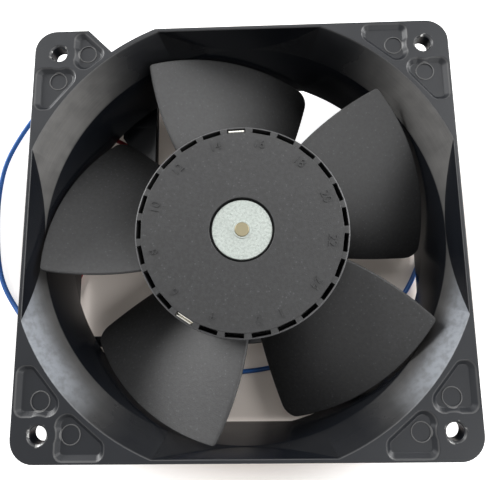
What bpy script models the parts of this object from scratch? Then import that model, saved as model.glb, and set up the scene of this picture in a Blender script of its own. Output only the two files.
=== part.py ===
"""Axial cooling fan, 119 mm square and 38 mm deep, with an external-rotor motor.

The fan lies on its back: the motor plate and its struts are at the bottom, the
open face of the impeller at the top. The origin is the middle of the housing,
on the shaft's axis, and +Z points out of the open face.
"""

from math import asin, atan2, ceil, cos, hypot, pi, radians, sin, sqrt, tau

import bmesh
import bpy
from mathutils import Vector

# Every size is in metres.
MILLIMETRE = 0.001

# Shared clearances.
SEAT_GAP = 0.0003          # between pieces that touch or seat
OVERRUN = 0.001            # how far every cutter runs past the face it cuts

# Housing frame.
FRAME_WIDTH = 0.119
FRAME_DEPTH = 0.038
FRAME_CORNER_RADIUS = 0.0063
FLANGE_THICKNESS = 0.004
HOLE_EDGE_DISTANCE = 0.0071
HOLE_RADIUS = 0.00225
HOLE_CHAMFER = 0.0005
REAR = -FRAME_DEPTH / 2
FRONT = FRAME_DEPTH / 2
HALF_WIDTH = FRAME_WIDTH / 2
HOLE_PITCH = FRAME_WIDTH - HOLE_EDGE_DISTANCE - HOLE_EDGE_DISTANCE

# Duct: a round throat just inside the frame's sides, which flares to a bell
# mouth at both faces and is cut flat where it would break through the sides.
THROAT_SETBACK = 0.0013
THROAT_RADIUS = HALF_WIDTH - THROAT_SETBACK
THROAT_WALL = 0.0017
BELL_OVERREACH = 0.0035
BELL_RADIUS = HALF_WIDTH + BELL_OVERREACH
BELL_WALL = 0.0013
FRONT_BELL_DEPTH = 0.0105
REAR_BELL_DEPTH = 0.0080
SIDE_WALL = 0.0011

# Recessed pockets in the front flange, two at each mounting hole.
POCKET_DEPTH = 0.0012
POCKET_DRAFT = 0.0008
POCKET_SIDE_RIM = 0.0006
POCKET_BELL_RIM = 0.0012
POCKET_BELL_ANGLE = radians(40)
POCKET_HOLE_BOSS = 0.0047
POCKET_BUMP = 0.0004
POCKET_LENGTH = 0.0130
POCKET_CORNER = 0.0024
POCKET_INNER_CORNER = 0.0032

# Cable notch beside one mounting hole, through both flanges.
NOTCH_NEAR_HOLE = 0.0085
NOTCH_WALL = 0.0012

# Motor plate: a shallow dish that the struts join at a tangent.
PLATE_RADIUS = 0.0330
PLATE_FLOOR = 0.0020
PLATE_RIM_WALL = 0.0020
PLATE_RIM_HEIGHT = 0.0046
PLATE_RIB_SETBACK = 0.0080
PLATE_RIB_RADIUS = PLATE_RADIUS - PLATE_RIB_SETBACK
PLATE_RIB_HEIGHT = 0.0008
PLATE_SETBACK = 0.0003
STRUT_SETBACK = 0.0006
STRUT_HEIGHT = 0.0044
STRUT_WIDTH = 0.0034
STRUT_ROOT_DEPTH = 0.0030
STRUT_INNER_OFFSET = PLATE_RADIUS - STRUT_ROOT_DEPTH
STRUT_ROOT_SLANT = 0.0040
CABLE_WALL = 0.0015
CABLE_CHANNEL_WIDTH = 0.0050
CABLE_FLOOR = 0.0008
CABLE_CHANNEL_DEPTH = 0.0029
CABLE_SIDE_SETBACK = 0.0014
CABLE_RIGHT_SIDE = CABLE_SIDE_SETBACK - PLATE_RADIUS
CABLE_MIDDLE = CABLE_RIGHT_SIDE - CABLE_WALL - CABLE_CHANNEL_WIDTH / 2
CABLE_END_SETBACK = 0.0018
CABLE_END = sqrt(THROAT_RADIUS ** 2 - CABLE_MIDDLE ** 2) - CABLE_END_SETBACK
CABLE_FLARE_REACH = 0.0042
CABLE_FLARE_LENGTH = 0.0110
CABLE_FLARE_END = CABLE_END - CABLE_FLARE_REACH
CABLE_FLARE_START = CABLE_FLARE_END - CABLE_FLARE_LENGTH
CABLE_SLOT_WIDTH = 0.0058
CABLE_SLOT_HEIGHT = 0.0033
CABLE_WINDOW_START = -0.0060
CABLE_WINDOW_END = 0.0125
STRUT_EMBED = 0.0006
STRUT_ROOT_SHARE = 0.5

# Impeller: hub cup with five blades.
BLADE_COUNT = 5
HUB_RADIUS = 0.0297
HUB_WALL = 0.0029
HUB_FACE = 0.0022
HUB_TOP_SETBACK = 0.0025
HUB_REAR_HEIGHT = 0.0062
HUB_TOP = FRONT - HUB_TOP_SETBACK
HUB_EDGE_ROUND = 0.0004
HUB_HOLE_RADIUS = 0.0090
BLADE_TIP_CLEARANCE = 0.0010
BLADE_TIP_RADIUS = THROAT_RADIUS - BLADE_TIP_CLEARANCE
BLADE_ROOT_OVERLAP = 0.0012
LEADING_ROOT_ANGLE = radians(128.5)
LEADING_TIP_ANGLE = radians(118.2)
TRAILING_ROOT_ANGLE = radians(62.2)
TRAILING_TIP_ANGLE = radians(66.7)
LEADING_ROOT_SETBACK = 0.0072
LEADING_TIP_SETBACK = 0.0043
TRAILING_ROOT_HEIGHT = 0.0070
TRAILING_TIP_HEIGHT = 0.0064
BLADE_CAMBER = 0.0012
BLADE_ROOT_THICKNESS = 0.0021
BLADE_TIP_THICKNESS = 0.0015
BLADE_EDGE_THICKNESS = 0.0008
BLADE_TRAILING_CORNER = 0.0040
BLADE_LEADING_CORNER = 0.0008

# Balance pockets round the hub face, numbered clockwise, and their clips.
BALANCE_POCKETS = 25
BALANCE_SETBACK = 0.00115
BALANCE_RADIUS = HUB_RADIUS - BALANCE_SETBACK
BALANCE_LENGTH = 0.0052
BALANCE_WIDTH = 0.00125
BALANCE_DEPTH = 0.0040
BALANCE_FIRST_NUMBER = 15
BALANCE_FIRST_ANGLE = radians(92.5)
CLIPPED_NUMBERS = (5, 15)
CLIP_HEIGHT = 0.0032

# Rotor: steel cup, ring magnet, zinc boss and shaft.
CUP_WALL = 0.0015
CUP_TOP = 0.0012
CUP_REAR_HEIGHT = 0.0090
CUP_FACE = HUB_TOP - HUB_FACE - SEAT_GAP
CUP_CEILING = CUP_FACE - CUP_TOP
MAGNET_THICKNESS = 0.0024
MAGNET_FRONT_CLEARANCE = 0.0048
MAGNET_REAR_HEIGHT = 0.0110
BOSS_RADIUS = 0.00835
BOSS_FACE_SETBACK = 0.0029
BOSS_NECK_RADIUS = 0.0046
BOSS_NECK_LENGTH = 0.0028
BOSS_NECK_REAR = CUP_FACE + SEAT_GAP - BOSS_NECK_LENGTH
BOSS_COLLAR_RADIUS = 0.0026
BOSS_COLLAR_HEIGHT = 0.0002
SHAFT_RADIUS = 0.0020
SHAFT_CHAMFER = 0.0002
SHAFT_PROUD = 0.0003
SHAFT_REAR_HEIGHT = 0.0026
SHAFT_GROOVE_DEPTH = 0.0004
RING_GROOVE_HEIGHT = 0.0034
RING_THICKNESS = 0.0007
RING_RADIUS = 0.0036
RING_OPENING = 0.0022
SHIM_THICKNESS = 0.0004
SPRING_WIRE = 0.0003
SPRING_RADIUS = 0.0030
SPRING_TURNS = 3

# Ball bearings, 13 mm outside and 5 mm wide.
BEARING_WIDTH = 0.0050
BEARING_OUTER_RADIUS = 0.0065
BEARING_INNER_RADIUS = SHAFT_RADIUS + SEAT_GAP
BEARING_RACE = 0.0013
BALL_RADIUS = 0.0011
BALL_COUNT = 7
CAGE_BAND = 0.0005
CAGE_HEIGHT = 0.0009
SHIELD_THICKNESS = 0.0003
SHIELD_BORE = 0.0039
REAR_BEARING_HEIGHT = 0.0052
REAR_BEARING_LOW = REAR + REAR_BEARING_HEIGHT
SPRING_SPACE = 0.0033
FRONT_BEARING_LOW = BOSS_NECK_REAR - SPRING_SPACE - BEARING_WIDTH

# Bearing tube and stator.
TUBE_WALL = 0.0015
TUBE_SHOULDER = 0.0009
TUBE_LIP = 0.0009
AIR_GAP = 0.0005
STATOR_REAR_HEIGHT = 0.0130
STATOR_FRONT_CLEARANCE = 0.0068
STATOR_POLES = 4
STATOR_NECK = 0.0060
STATOR_SHOE = 0.0026
STATOR_YOKE = 0.0030
STATOR_SLOT_SHARE = 0.10
INSULATOR_THICKNESS = 0.0008
INSULATOR_INSET = 0.0004
COIL_THICKNESS = 0.0022
COIL_CLEARANCE = 0.0003

# Circuit board and what is on it.
BOARD_HEIGHT = 0.0068
BOARD_THICKNESS = 0.0012
BOARD_EDGE_CLEARANCE = 0.0008
BOARD_RADIUS = HUB_RADIUS - HUB_WALL - SEAT_GAP - CUP_WALL - BOARD_EDGE_CLEARANCE
BOARD_BORE_CLEARANCE = 0.0008
FILM_THICKNESS = 0.0004
FILM_SETBACK = 0.0037
FILM_RADIUS = BOARD_RADIUS - FILM_SETBACK
CHIP_SIZE = (0.0050, 0.0040, 0.0013)
HALL_SIZE = (0.0040, 0.0016, 0.0018)
CAPACITOR_RADIUS = 0.0020
CAPACITOR_LENGTH = 0.0026
PART_RADIUS_SHARE = 0.72
CHIP_ANGLES = (radians(20), radians(80))
CAPACITOR_ANGLE = radians(-70)

# Leads: outside diameter 1.6 mm, stripped and tinned at the ends.
LEAD_RADIUS = 0.0008
LEAD_TIP_RADIUS = 0.00045
LEAD_TIP_LENGTH = 0.0070
LEAD_SPACING = 0.0020
LEAD_POINT_SPACING = 0.0050
LEAD_HEIGHT = 0.0018
LEAD_SURFACE = REAR - SEAT_GAP - LEAD_RADIUS

DUCT_STEPS = 64
PLATE_STEPS = 44
HUB_STEPS = 50
BOSS_STEPS = 24
ROUND_STEPS = 22
TINY_STEPS = 14
HOLE_STEPS = 16
CHORD_STEPS = 8
SPAN_STEPS = 3
TIP_STEPS = 3


def clear_scene():
    """Remove every object that a new file starts with."""
    for item in list(bpy.data.objects):
        bpy.data.objects.remove(item, do_unlink=True)


def material(name, colour, roughness, metallic=0.0):
    """Make a Principled material."""
    finish = bpy.data.materials.new(name)
    finish.use_nodes = True
    shader = finish.node_tree.nodes["Principled BSDF"]
    shader.inputs["Base Color"].default_value = (*colour, 1.0)
    shader.inputs["Roughness"].default_value = roughness
    shader.inputs["Metallic"].default_value = metallic
    return finish


def add_object(name, mesh_builder, finish=None, parent=None, smooth_angle=radians(32)):
    """Turn a bmesh into a named object, smooth except at its sharp edges."""
    bmesh.ops.recalc_face_normals(mesh_builder, faces=mesh_builder.faces)
    mesh = bpy.data.meshes.new(name)
    mesh_builder.to_mesh(mesh)
    mesh_builder.free()
    mesh.shade_smooth()
    mesh.set_sharp_from_angle(angle=smooth_angle)
    item = bpy.data.objects.new(name, mesh)
    bpy.context.scene.collection.objects.link(item)
    if finish is not None:
        item.data.materials.append(finish)
    if parent is not None:
        item.parent = parent
    return item


def add_tool(name, mesh_builder):
    """Make an object that only cuts or joins another one."""
    item = add_object(name, mesh_builder)
    item.hide_render = True
    item.display_type = 'WIRE'
    return item


def combine(item, tool, operation):
    """Cut, join or intersect an object with a tool."""
    step = item.modifiers.new(operation.title() + " " + tool.name, 'BOOLEAN')
    step.operation = operation
    step.solver = 'EXACT'
    step.object = tool
    return step


def circle_points(radius, steps, start=0.0, sweep=tau):
    """Points along an arc; a whole turn leaves out the repeated last point."""
    count = steps if sweep == tau else steps + 1
    return [(radius * cos(start + sweep * step / steps), radius * sin(start + sweep * step / steps))
            for step in range(count)]


def revolve(profile, steps=ROUND_STEPS, builder=None, centre=(0.0, 0.0)):
    """Turn a closed outline of (radius, height) points about the Z axis."""
    builder = builder or bmesh.new()
    rings = []
    for radius, height in profile:
        if radius <= 0.0:
            rings.append([builder.verts.new((centre[0], centre[1], height))])
            continue
        rings.append([builder.verts.new((centre[0] + x, centre[1] + y, height))
                      for x, y in circle_points(radius, steps)])
    for index, ring in enumerate(rings):
        following = rings[(index + 1) % len(rings)]
        if len(ring) == 1 and len(following) == 1:
            continue
        for step in range(steps):
            after = (step + 1) % steps
            if len(ring) == 1:
                corners = (ring[0], following[step], following[after])
            elif len(following) == 1:
                corners = (ring[step], following[0], ring[after])
            else:
                corners = (ring[step], following[step], following[after], ring[after])
            builder.faces.new(corners)
    return builder


def stack(levels, builder=None):
    """Skin a stack of (outline, height) levels, closed at both ends."""
    builder = builder or bmesh.new()
    rings = [[builder.verts.new((x, y, height)) for x, y in outline] for outline, height in levels]
    builder.faces.new(list(reversed(rings[0])))
    builder.faces.new(rings[-1])
    for lower, upper in zip(rings, rings[1:]):
        for index in range(len(lower)):
            after = (index + 1) % len(lower)
            builder.faces.new((lower[index], lower[after], upper[after], upper[index]))
    return builder


def prism(outline, low, high, builder=None):
    """Raise a flat outline from low to high."""
    return stack([(outline, low), (outline, high)], builder)


def box(low, high, builder=None):
    """A block between two opposite corners."""
    outline = [(low[0], low[1]), (high[0], low[1]), (high[0], high[1]), (low[0], high[1])]
    return prism(outline, low[2], high[2], builder)


def rectangle(half_width, half_height):
    """Corners of a rectangle about the origin."""
    return [(-half_width, -half_height), (half_width, -half_height), (half_width, half_height),
            (-half_width, half_height)]


def turned(points, angle):
    """Rotate flat points about the origin."""
    return [(x * cos(angle) - y * sin(angle), x * sin(angle) + y * cos(angle)) for x, y in points]


def rounded_square(half, radius, steps=8):
    """Outline of a square with round corners."""
    points = []
    centre = half - radius
    for quarter in range(4):
        start = quarter * pi / 2
        corner = turned([(centre, centre)], start)[0]
        points += [(corner[0] + x, corner[1] + y) for x, y in circle_points(radius, steps, start, pi / 2)]
    return points


def corner_arc(before, here, after, radius, steps=4):
    """Points of the arc that rounds one corner of an outline."""
    middle = Vector(here)
    first = (Vector(before) - middle).normalized()
    last = (Vector(after) - middle).normalized()
    half_angle = first.angle(last) / 2
    centre = middle + (first + last).normalized() * (radius / sin(half_angle))
    reach = radius * cos(half_angle) / sin(half_angle)
    start = middle + first * reach - centre
    end = middle + last * reach - centre
    angle = atan2(start.y, start.x)
    sweep = (atan2(end.y, end.x) - angle + pi) % tau - pi
    return [(centre.x + x, centre.y + y) for x, y in circle_points(radius, steps, angle, sweep)]


def rounded_outline(corners, radius, steps=4):
    """Round every corner of an outline with an arc of one radius."""
    points = []
    for index, corner in enumerate(corners):
        points += corner_arc(corners[index - 1], corner, corners[(index + 1) % len(corners)], radius, steps)
    return points


# Housing


def duct_outer_profile():
    """Outside of the duct from the rear face to the front face, closed on the axis."""
    bell = BELL_RADIUS + BELL_WALL
    throat = THROAT_RADIUS + THROAT_WALL
    return [(0.0, REAR - OVERRUN), (bell, REAR - OVERRUN), (bell, REAR + FLANGE_THICKNESS - OVERRUN),
            (throat, REAR + REAR_BELL_DEPTH), (throat, FRONT - FRONT_BELL_DEPTH),
            (bell, FRONT - FLANGE_THICKNESS + OVERRUN), (bell, FRONT + OVERRUN), (0.0, FRONT + OVERRUN)]


def bore_profile():
    """Inside of the duct, run past both faces along the slope of each bell."""
    front_slope = (BELL_RADIUS - THROAT_RADIUS) / FRONT_BELL_DEPTH
    rear_slope = (BELL_RADIUS - THROAT_RADIUS) / REAR_BELL_DEPTH
    return [(0.0, REAR - OVERRUN), (BELL_RADIUS + rear_slope * OVERRUN, REAR - OVERRUN),
            (THROAT_RADIUS, REAR + REAR_BELL_DEPTH), (THROAT_RADIUS, FRONT - FRONT_BELL_DEPTH),
            (BELL_RADIUS + front_slope * OVERRUN, FRONT + OVERRUN), (0.0, FRONT + OVERRUN)]


def corner_space_tool():
    """The open space between the two flanges, outside the duct."""
    reach = HALF_WIDTH + OVERRUN
    space = add_tool("corner_space", box((-reach, -reach, REAR + FLANGE_THICKNESS),
                                         (reach, reach, FRONT - FLANGE_THICKNESS)))
    duct = add_tool("duct_outside", revolve(duct_outer_profile(), DUCT_STEPS))
    combine(space, duct, 'DIFFERENCE')
    return space


def bore_tool():
    """The duct's bore, cut flat where it would break through the frame's sides."""
    bore = add_tool("duct_bore", revolve(bore_profile(), DUCT_STEPS))
    inside = HALF_WIDTH - SIDE_WALL
    reach = FRONT + OVERRUN + OVERRUN
    square = add_tool("bore_sides", box((-inside, -inside, -reach), (inside, inside, reach)))
    combine(bore, square, 'INTERSECT')
    return bore


def hole_tool():
    """The four mounting holes through both flanges, chamfered at the outer faces."""
    builder = bmesh.new()
    wide = HOLE_RADIUS + HOLE_CHAMFER + OVERRUN
    profile = [(0.0, REAR - OVERRUN), (wide, REAR - OVERRUN), (HOLE_RADIUS, REAR + HOLE_CHAMFER),
               (HOLE_RADIUS, FRONT - HOLE_CHAMFER), (wide, FRONT + OVERRUN), (0.0, FRONT + OVERRUN)]
    for side_x in (-1, 1):
        for side_y in (-1, 1):
            revolve(profile, HOLE_STEPS, builder, (side_x * HOLE_PITCH / 2, side_y * HOLE_PITCH / 2))
    return add_tool("mounting_holes", builder)


def pocket_outline(inset):
    """One flange pocket at the +X +Y corner, the one along the +X side.

    It is a rounded wedge between the frame's side, the bell's rim and the
    mounting hole, whose round boss dents the end beside it.
    """
    hole = HOLE_PITCH / 2
    boss = POCKET_HOLE_BOSS + inset
    outer = HALF_WIDTH - POCKET_SIDE_RIM - inset
    top = hole - POCKET_HOLE_BOSS + POCKET_BUMP - inset
    bottom = hole - POCKET_HOLE_BOSS + POCKET_BUMP - POCKET_LENGTH + inset
    rim = BELL_RADIUS + POCKET_BELL_RIM + inset
    inner = [(rim - y * sin(POCKET_BELL_ANGLE)) / cos(POCKET_BELL_ANGLE) for y in (top, bottom)]
    corners = [(outer, bottom), (outer, top), (inner[0], top), (inner[1], bottom)]
    radii = [POCKET_CORNER - inset, POCKET_CORNER - inset, POCKET_INNER_CORNER - inset, POCKET_CORNER - inset]
    points = []
    for index, corner in enumerate(corners):
        points += corner_arc(corners[index - 1], corner, corners[(index + 1) % 4], radii[index], 3)
        if index == 1:
            dent = asin((hole - top) / boss)
            points += [(hole + x, hole + y) for x, y in circle_points(boss, 4, -dent, dent + dent - pi)]
    return points


def pocket_tool():
    """All flange pockets: two at each corner, mirror images about its diagonal."""
    builder = bmesh.new()
    mouth = pocket_outline(0.0)
    floor = pocket_outline(POCKET_DRAFT)
    for quarter in range(4):
        for flip in (False, True):
            levels = []
            for outline, height in ((floor, FRONT - POCKET_DEPTH), (mouth, FRONT), (mouth, FRONT + OVERRUN)):
                if flip:
                    outline = [(y, x) for x, y in reversed(outline)]
                levels.append((turned(outline, quarter * pi / 2), height))
            stack(levels, builder)
    pockets = add_tool("flange_pockets", builder)
    edge = notch_edge() - NOTCH_WALL * sqrt(2)
    below = notch_depth() + NOTCH_WALL
    reach = HALF_WIDTH + OVERRUN
    far = edge + reach - FRAME_CORNER_RADIUS
    inside = HALF_WIDTH - below
    outline = [(edge - OVERRUN, reach), (edge + below, inside), (far, inside), (far, reach)]
    wall = add_tool("notch_wall", prism(outline, FRONT - POCKET_DEPTH - OVERRUN, FRONT + OVERRUN + OVERRUN))
    combine(pockets, wall, 'DIFFERENCE')
    return pockets


def notch_edge():
    """X where the cable notch's slanted side meets the frame's +Y side."""
    return NOTCH_NEAR_HOLE - HOLE_PITCH / 2


def notch_depth():
    """How far the notch's slanted side, at 45 degrees, runs in before it meets the duct's outside."""
    bell = BELL_RADIUS + BELL_WALL
    along = HALF_WIDTH - notch_edge()
    beyond = notch_edge() ** 2 + HALF_WIDTH ** 2 - bell ** 2
    return (along - sqrt(along ** 2 - beyond - beyond)) / 2


def notch_tool():
    """The V-shaped cable notch between the lobe at -X +Y and the duct's outside."""
    bell = BELL_RADIUS + BELL_WALL
    depth = notch_depth()
    bottom = atan2(HALF_WIDTH - depth, notch_edge() + depth)
    side = pi - asin(HALF_WIDTH / bell)
    arc = circle_points(bell, 8, bottom, side - bottom)
    reach = HALF_WIDTH + OVERRUN
    outline = [(notch_edge() - OVERRUN, reach)] + arc + [(arc[-1][0] + OVERRUN, reach)]
    return add_tool("cable_notch", prism(outline, REAR - OVERRUN, FRONT + OVERRUN))


def dish_profile():
    """Motor plate with its raised rim and the low rib that centres the board's film."""
    rib = PLATE_RIB_RADIUS
    return [(0.0, REAR + PLATE_SETBACK), (PLATE_RADIUS, REAR + PLATE_SETBACK),
            (PLATE_RADIUS, REAR + PLATE_RIM_HEIGHT),
            (PLATE_RADIUS - PLATE_RIM_WALL, REAR + PLATE_RIM_HEIGHT),
            (PLATE_RADIUS - PLATE_RIM_WALL, REAR + PLATE_FLOOR),
            (rib + PLATE_RIB_HEIGHT, REAR + PLATE_FLOOR),
            (rib + PLATE_RIB_HEIGHT, REAR + PLATE_FLOOR + PLATE_RIB_HEIGHT),
            (rib, REAR + PLATE_FLOOR + PLATE_RIB_HEIGHT), (rib, REAR + PLATE_FLOOR),
            (0.0, REAR + PLATE_FLOOR)]


def strut_outline():
    """A plain strut that leaves the motor plate at a tangent, along +Y at -X."""
    inner = -STRUT_INNER_OFFSET
    outer = inner - STRUT_WIDTH
    return [(outer, STRUT_ROOT_SLANT), (inner, -STRUT_ROOT_SLANT), (inner, HALF_WIDTH), (outer, HALF_WIDTH)]


def cable_left_side(offset):
    """Left side of the cable strut, moved inwards by offset: straight, then flared."""
    left = CABLE_RIGHT_SIDE - CABLE_WALL - CABLE_CHANNEL_WIDTH - CABLE_WALL + offset
    points = [(left, STRUT_ROOT_SLANT)]
    steps = 6
    for step in range(steps + 1):
        share = step / steps
        points.append((left - CABLE_FLARE_REACH * share ** 2,
                       CABLE_FLARE_START + CABLE_FLARE_LENGTH * share))
    points.append((left - CABLE_FLARE_REACH, HALF_WIDTH))
    return points


def cable_outline(offset=0.0):
    """The wide strut that carries the leads, or its hollow when moved inwards."""
    right = CABLE_RIGHT_SIDE - offset
    return [(right, -STRUT_ROOT_SLANT), (right, HALF_WIDTH)] + list(reversed(cable_left_side(offset)))


def disc(name, radius, low, high, steps):
    """A round tool between two heights."""
    return add_tool(name, revolve([(0.0, high), (radius, high), (radius, low), (0.0, low)], steps))


def spider_tool():
    """Motor plate and its four struts, ended inside the duct's wall."""
    spider = add_tool("motor_plate", revolve(dish_profile(), PLATE_STEPS))
    struts = bmesh.new()
    low = REAR + STRUT_SETBACK
    prism(cable_outline(), low, REAR + STRUT_HEIGHT, struts)
    for quarter in range(1, 4):
        prism(turned(strut_outline(), quarter * pi / 2), low, REAR + STRUT_HEIGHT, struts)
    arms = add_tool("strut_arms", struts)
    high = REAR + STRUT_HEIGHT + OVERRUN
    outside = BELL_RADIUS + STRUT_EMBED
    combine(arms, disc("strut_reach", outside, REAR - OVERRUN, high, DUCT_STEPS), 'INTERSECT')
    inside = PLATE_RADIUS - PLATE_RIM_WALL * STRUT_ROOT_SHARE
    combine(arms, disc("dish_inside", inside, REAR - OVERRUN, high, PLATE_STEPS), 'DIFFERENCE')
    combine(spider, arms, 'UNION')
    return spider


def channel_tools():
    """The cable strut's hollow from the rear, its shallow front recess and its openings."""
    start = CABLE_WALL + STRUT_ROOT_SLANT
    inside = cable_outline(CABLE_WALL)
    hollow_outline = [(x, min(max(y, start), CABLE_END)) for x, y in inside]
    recess_outline = [(x, min(max(y, start + CABLE_WALL), CABLE_END)) for x, y in inside]
    low = REAR - OVERRUN
    floor = REAR + CABLE_CHANNEL_DEPTH
    hollow = add_tool("cable_hollow", prism(hollow_outline, low, floor))
    recess = add_tool("cable_recess", prism(recess_outline, floor + CABLE_FLOOR,
                                            REAR + STRUT_HEIGHT + OVERRUN))
    half_slot = CABLE_SLOT_WIDTH / 2
    slot = add_tool("cable_slot", box((CABLE_MIDDLE - half_slot, CABLE_END - OVERRUN, low),
                                      (CABLE_MIDDLE + half_slot, HALF_WIDTH + OVERRUN,
                                       REAR + CABLE_SLOT_HEIGHT)))
    rib = PLATE_RIB_RADIUS + PLATE_RIB_HEIGHT + SEAT_GAP
    window = add_tool("cable_window", box((CABLE_MIDDLE - CABLE_CHANNEL_WIDTH / 2, CABLE_WINDOW_START, low),
                                          (-rib, CABLE_WINDOW_END, floor)))
    return [hollow, recess, slot, window]


def build_housing(finish):
    """The die-cast frame with duct, flanges, struts and motor plate, in one piece."""
    housing = add_object("fan_housing", prism(rounded_square(HALF_WIDTH, FRAME_CORNER_RADIUS), REAR, FRONT),
                         finish)
    combine(housing, corner_space_tool(), 'DIFFERENCE')
    combine(housing, pocket_tool(), 'DIFFERENCE')
    combine(housing, bore_tool(), 'DIFFERENCE')
    combine(housing, spider_tool(), 'UNION')
    combine(housing, notch_tool(), 'DIFFERENCE')
    combine(housing, hole_tool(), 'DIFFERENCE')
    for tool in channel_tools():
        combine(housing, tool, 'DIFFERENCE')
    return housing


# Impeller


def hub_profile():
    """Hub cup: face on top with a round outer edge and a hole for the boss."""
    top = HUB_TOP
    bottom = REAR + HUB_REAR_HEIGHT
    inner = HUB_RADIUS - HUB_WALL
    edge = [(HUB_RADIUS - HUB_EDGE_ROUND + HUB_EDGE_ROUND * sin(angle),
             top - HUB_EDGE_ROUND + HUB_EDGE_ROUND * cos(angle))
            for angle in (0.0, radians(45), radians(90))]
    underside = top - HUB_FACE
    return ([(HUB_HOLE_RADIUS, top)] + edge
            + [(HUB_RADIUS, bottom), (inner, bottom), (inner, underside), (HUB_HOLE_RADIUS, underside)])


def blade_edges(radius):
    """Angle and height of a blade's leading and trailing edge at a radius."""
    share = (radius - HUB_RADIUS) / (BLADE_TIP_RADIUS - HUB_RADIUS)
    lead_angle = LEADING_ROOT_ANGLE + (LEADING_TIP_ANGLE - LEADING_ROOT_ANGLE) * share
    trail_angle = TRAILING_ROOT_ANGLE + (TRAILING_TIP_ANGLE - TRAILING_ROOT_ANGLE) * share
    lead_height = FRONT - LEADING_ROOT_SETBACK + (LEADING_ROOT_SETBACK - LEADING_TIP_SETBACK) * share
    trail_height = REAR + TRAILING_ROOT_HEIGHT + (TRAILING_TIP_HEIGHT - TRAILING_ROOT_HEIGHT) * share
    return lead_angle, lead_height, trail_angle, trail_height


def corner_cut(radius, corner):
    """How far a round tip corner takes back an edge at a radius."""
    into = radius - (BLADE_TIP_RADIUS - corner)
    if into <= 0.0:
        return 0.0
    return corner - sqrt(max(corner ** 2 - into ** 2, 0.0))


def blade_section(radius):
    """Points of one blade section on the cylinder of a radius, all the way round."""
    lead_angle, lead_height, trail_angle, trail_height = blade_edges(radius)
    chord = hypot((lead_angle - trail_angle) * radius, lead_height - trail_height)
    first = corner_cut(radius, BLADE_TRAILING_CORNER) / chord
    last = 1.0 - corner_cut(radius, BLADE_LEADING_CORNER) / chord
    slope = atan2(lead_height - trail_height, (lead_angle - trail_angle) * radius)
    span = (radius - HUB_RADIUS) / (BLADE_TIP_RADIUS - HUB_RADIUS)
    thickest = BLADE_ROOT_THICKNESS + (BLADE_TIP_THICKNESS - BLADE_ROOT_THICKNESS) * span
    upper = []
    lower = []
    for step in range(CHORD_STEPS + 1):
        share = first + (last - first) * (1.0 - cos(pi * step / CHORD_STEPS)) / 2
        bow = BLADE_CAMBER * 4.0 * share * (1.0 - share)
        swell = 4.0 * share * (1.0 - share)
        half = (BLADE_EDGE_THICKNESS + (thickest - BLADE_EDGE_THICKNESS) * sqrt(swell)) / 2
        if step in (0, CHORD_STEPS):
            half = half / 2
        along = chord * share
        for points, side in ((upper, 1.0), (lower, -1.0)):
            lift = bow + side * half
            angle = trail_angle + (along * cos(slope) - lift * sin(slope)) / radius
            height = trail_height + along * sin(slope) + lift * cos(slope)
            points.append((radius * cos(angle), radius * sin(angle), height))
    return upper + list(reversed(lower))


def blades_tool():
    """Five lofted blades whose roots run into the hub's wall."""
    builder = bmesh.new()
    root = HUB_RADIUS - BLADE_ROOT_OVERLAP
    corner_start = BLADE_TIP_RADIUS - BLADE_TRAILING_CORNER
    radii = [root + (corner_start - root) * step / SPAN_STEPS for step in range(SPAN_STEPS + 1)]
    radii += [corner_start + BLADE_TRAILING_CORNER * sin(pi / 2 * step / TIP_STEPS)
              for step in range(1, TIP_STEPS + 1)]
    sections = [blade_section(radius) for radius in radii]
    for blade in range(BLADE_COUNT):
        angle = tau * blade / BLADE_COUNT
        loops = []
        for section in sections:
            flat = turned([(x, y) for x, y, _ in section], -angle)
            loops.append([builder.verts.new((x, y, point[2])) for (x, y), point in zip(flat, section)])
        for loop, following in zip(loops, loops[1:]):
            for index in range(len(loop)):
                after = (index + 1) % len(loop)
                builder.faces.new((loop[index], loop[after], following[after], following[index]))
        for loop in (loops[0], loops[-1]):
            half = len(loop) // 2
            for step in range(half - 1):
                builder.faces.new((loop[step], loop[step + 1], loop[-step - 2], loop[-step - 1]))
    bmesh.ops.triangulate(builder, faces=builder.faces)
    return add_tool("blades", builder)


def balance_angle(number):
    """Angle of a numbered balance pocket about the hub's axis."""
    return BALANCE_FIRST_ANGLE + (BALANCE_FIRST_NUMBER - number) * tau / BALANCE_POCKETS


def balance_block(number, length, width, low, high, builder=None):
    """A block in line with a numbered balance pocket."""
    outline = [(BALANCE_RADIUS - width / 2, -length / 2), (BALANCE_RADIUS + width / 2, -length / 2),
               (BALANCE_RADIUS + width / 2, length / 2), (BALANCE_RADIUS - width / 2, length / 2)]
    return prism(turned(outline, balance_angle(number)), low, high, builder)


def build_impeller(finish, axis):
    """Hub and blades in one moulding, with the ring of balance pockets."""
    impeller = add_object("impeller", revolve(hub_profile(), HUB_STEPS), finish, axis)
    combine(impeller, blades_tool(), 'UNION')
    pockets = bmesh.new()
    floor = HUB_TOP - BALANCE_DEPTH
    for number in range(1, BALANCE_POCKETS + 1):
        balance_block(number, BALANCE_LENGTH, BALANCE_WIDTH, floor, HUB_TOP + OVERRUN, pockets)
    combine(impeller, add_tool("balance_pockets", pockets), 'DIFFERENCE')
    return impeller


def build_clips(finish, axis):
    """Spring-steel balance clips standing in two of the pockets."""
    low = HUB_TOP - BALANCE_DEPTH + SEAT_GAP
    length = BALANCE_LENGTH - SEAT_GAP - SEAT_GAP
    width = BALANCE_WIDTH - SEAT_GAP - SEAT_GAP
    for number in CLIPPED_NUMBERS:
        add_object("balance_clip_%d" % number,
                   balance_block(number, length, width, low, low + CLIP_HEIGHT), finish, axis)


# Rotor


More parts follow.
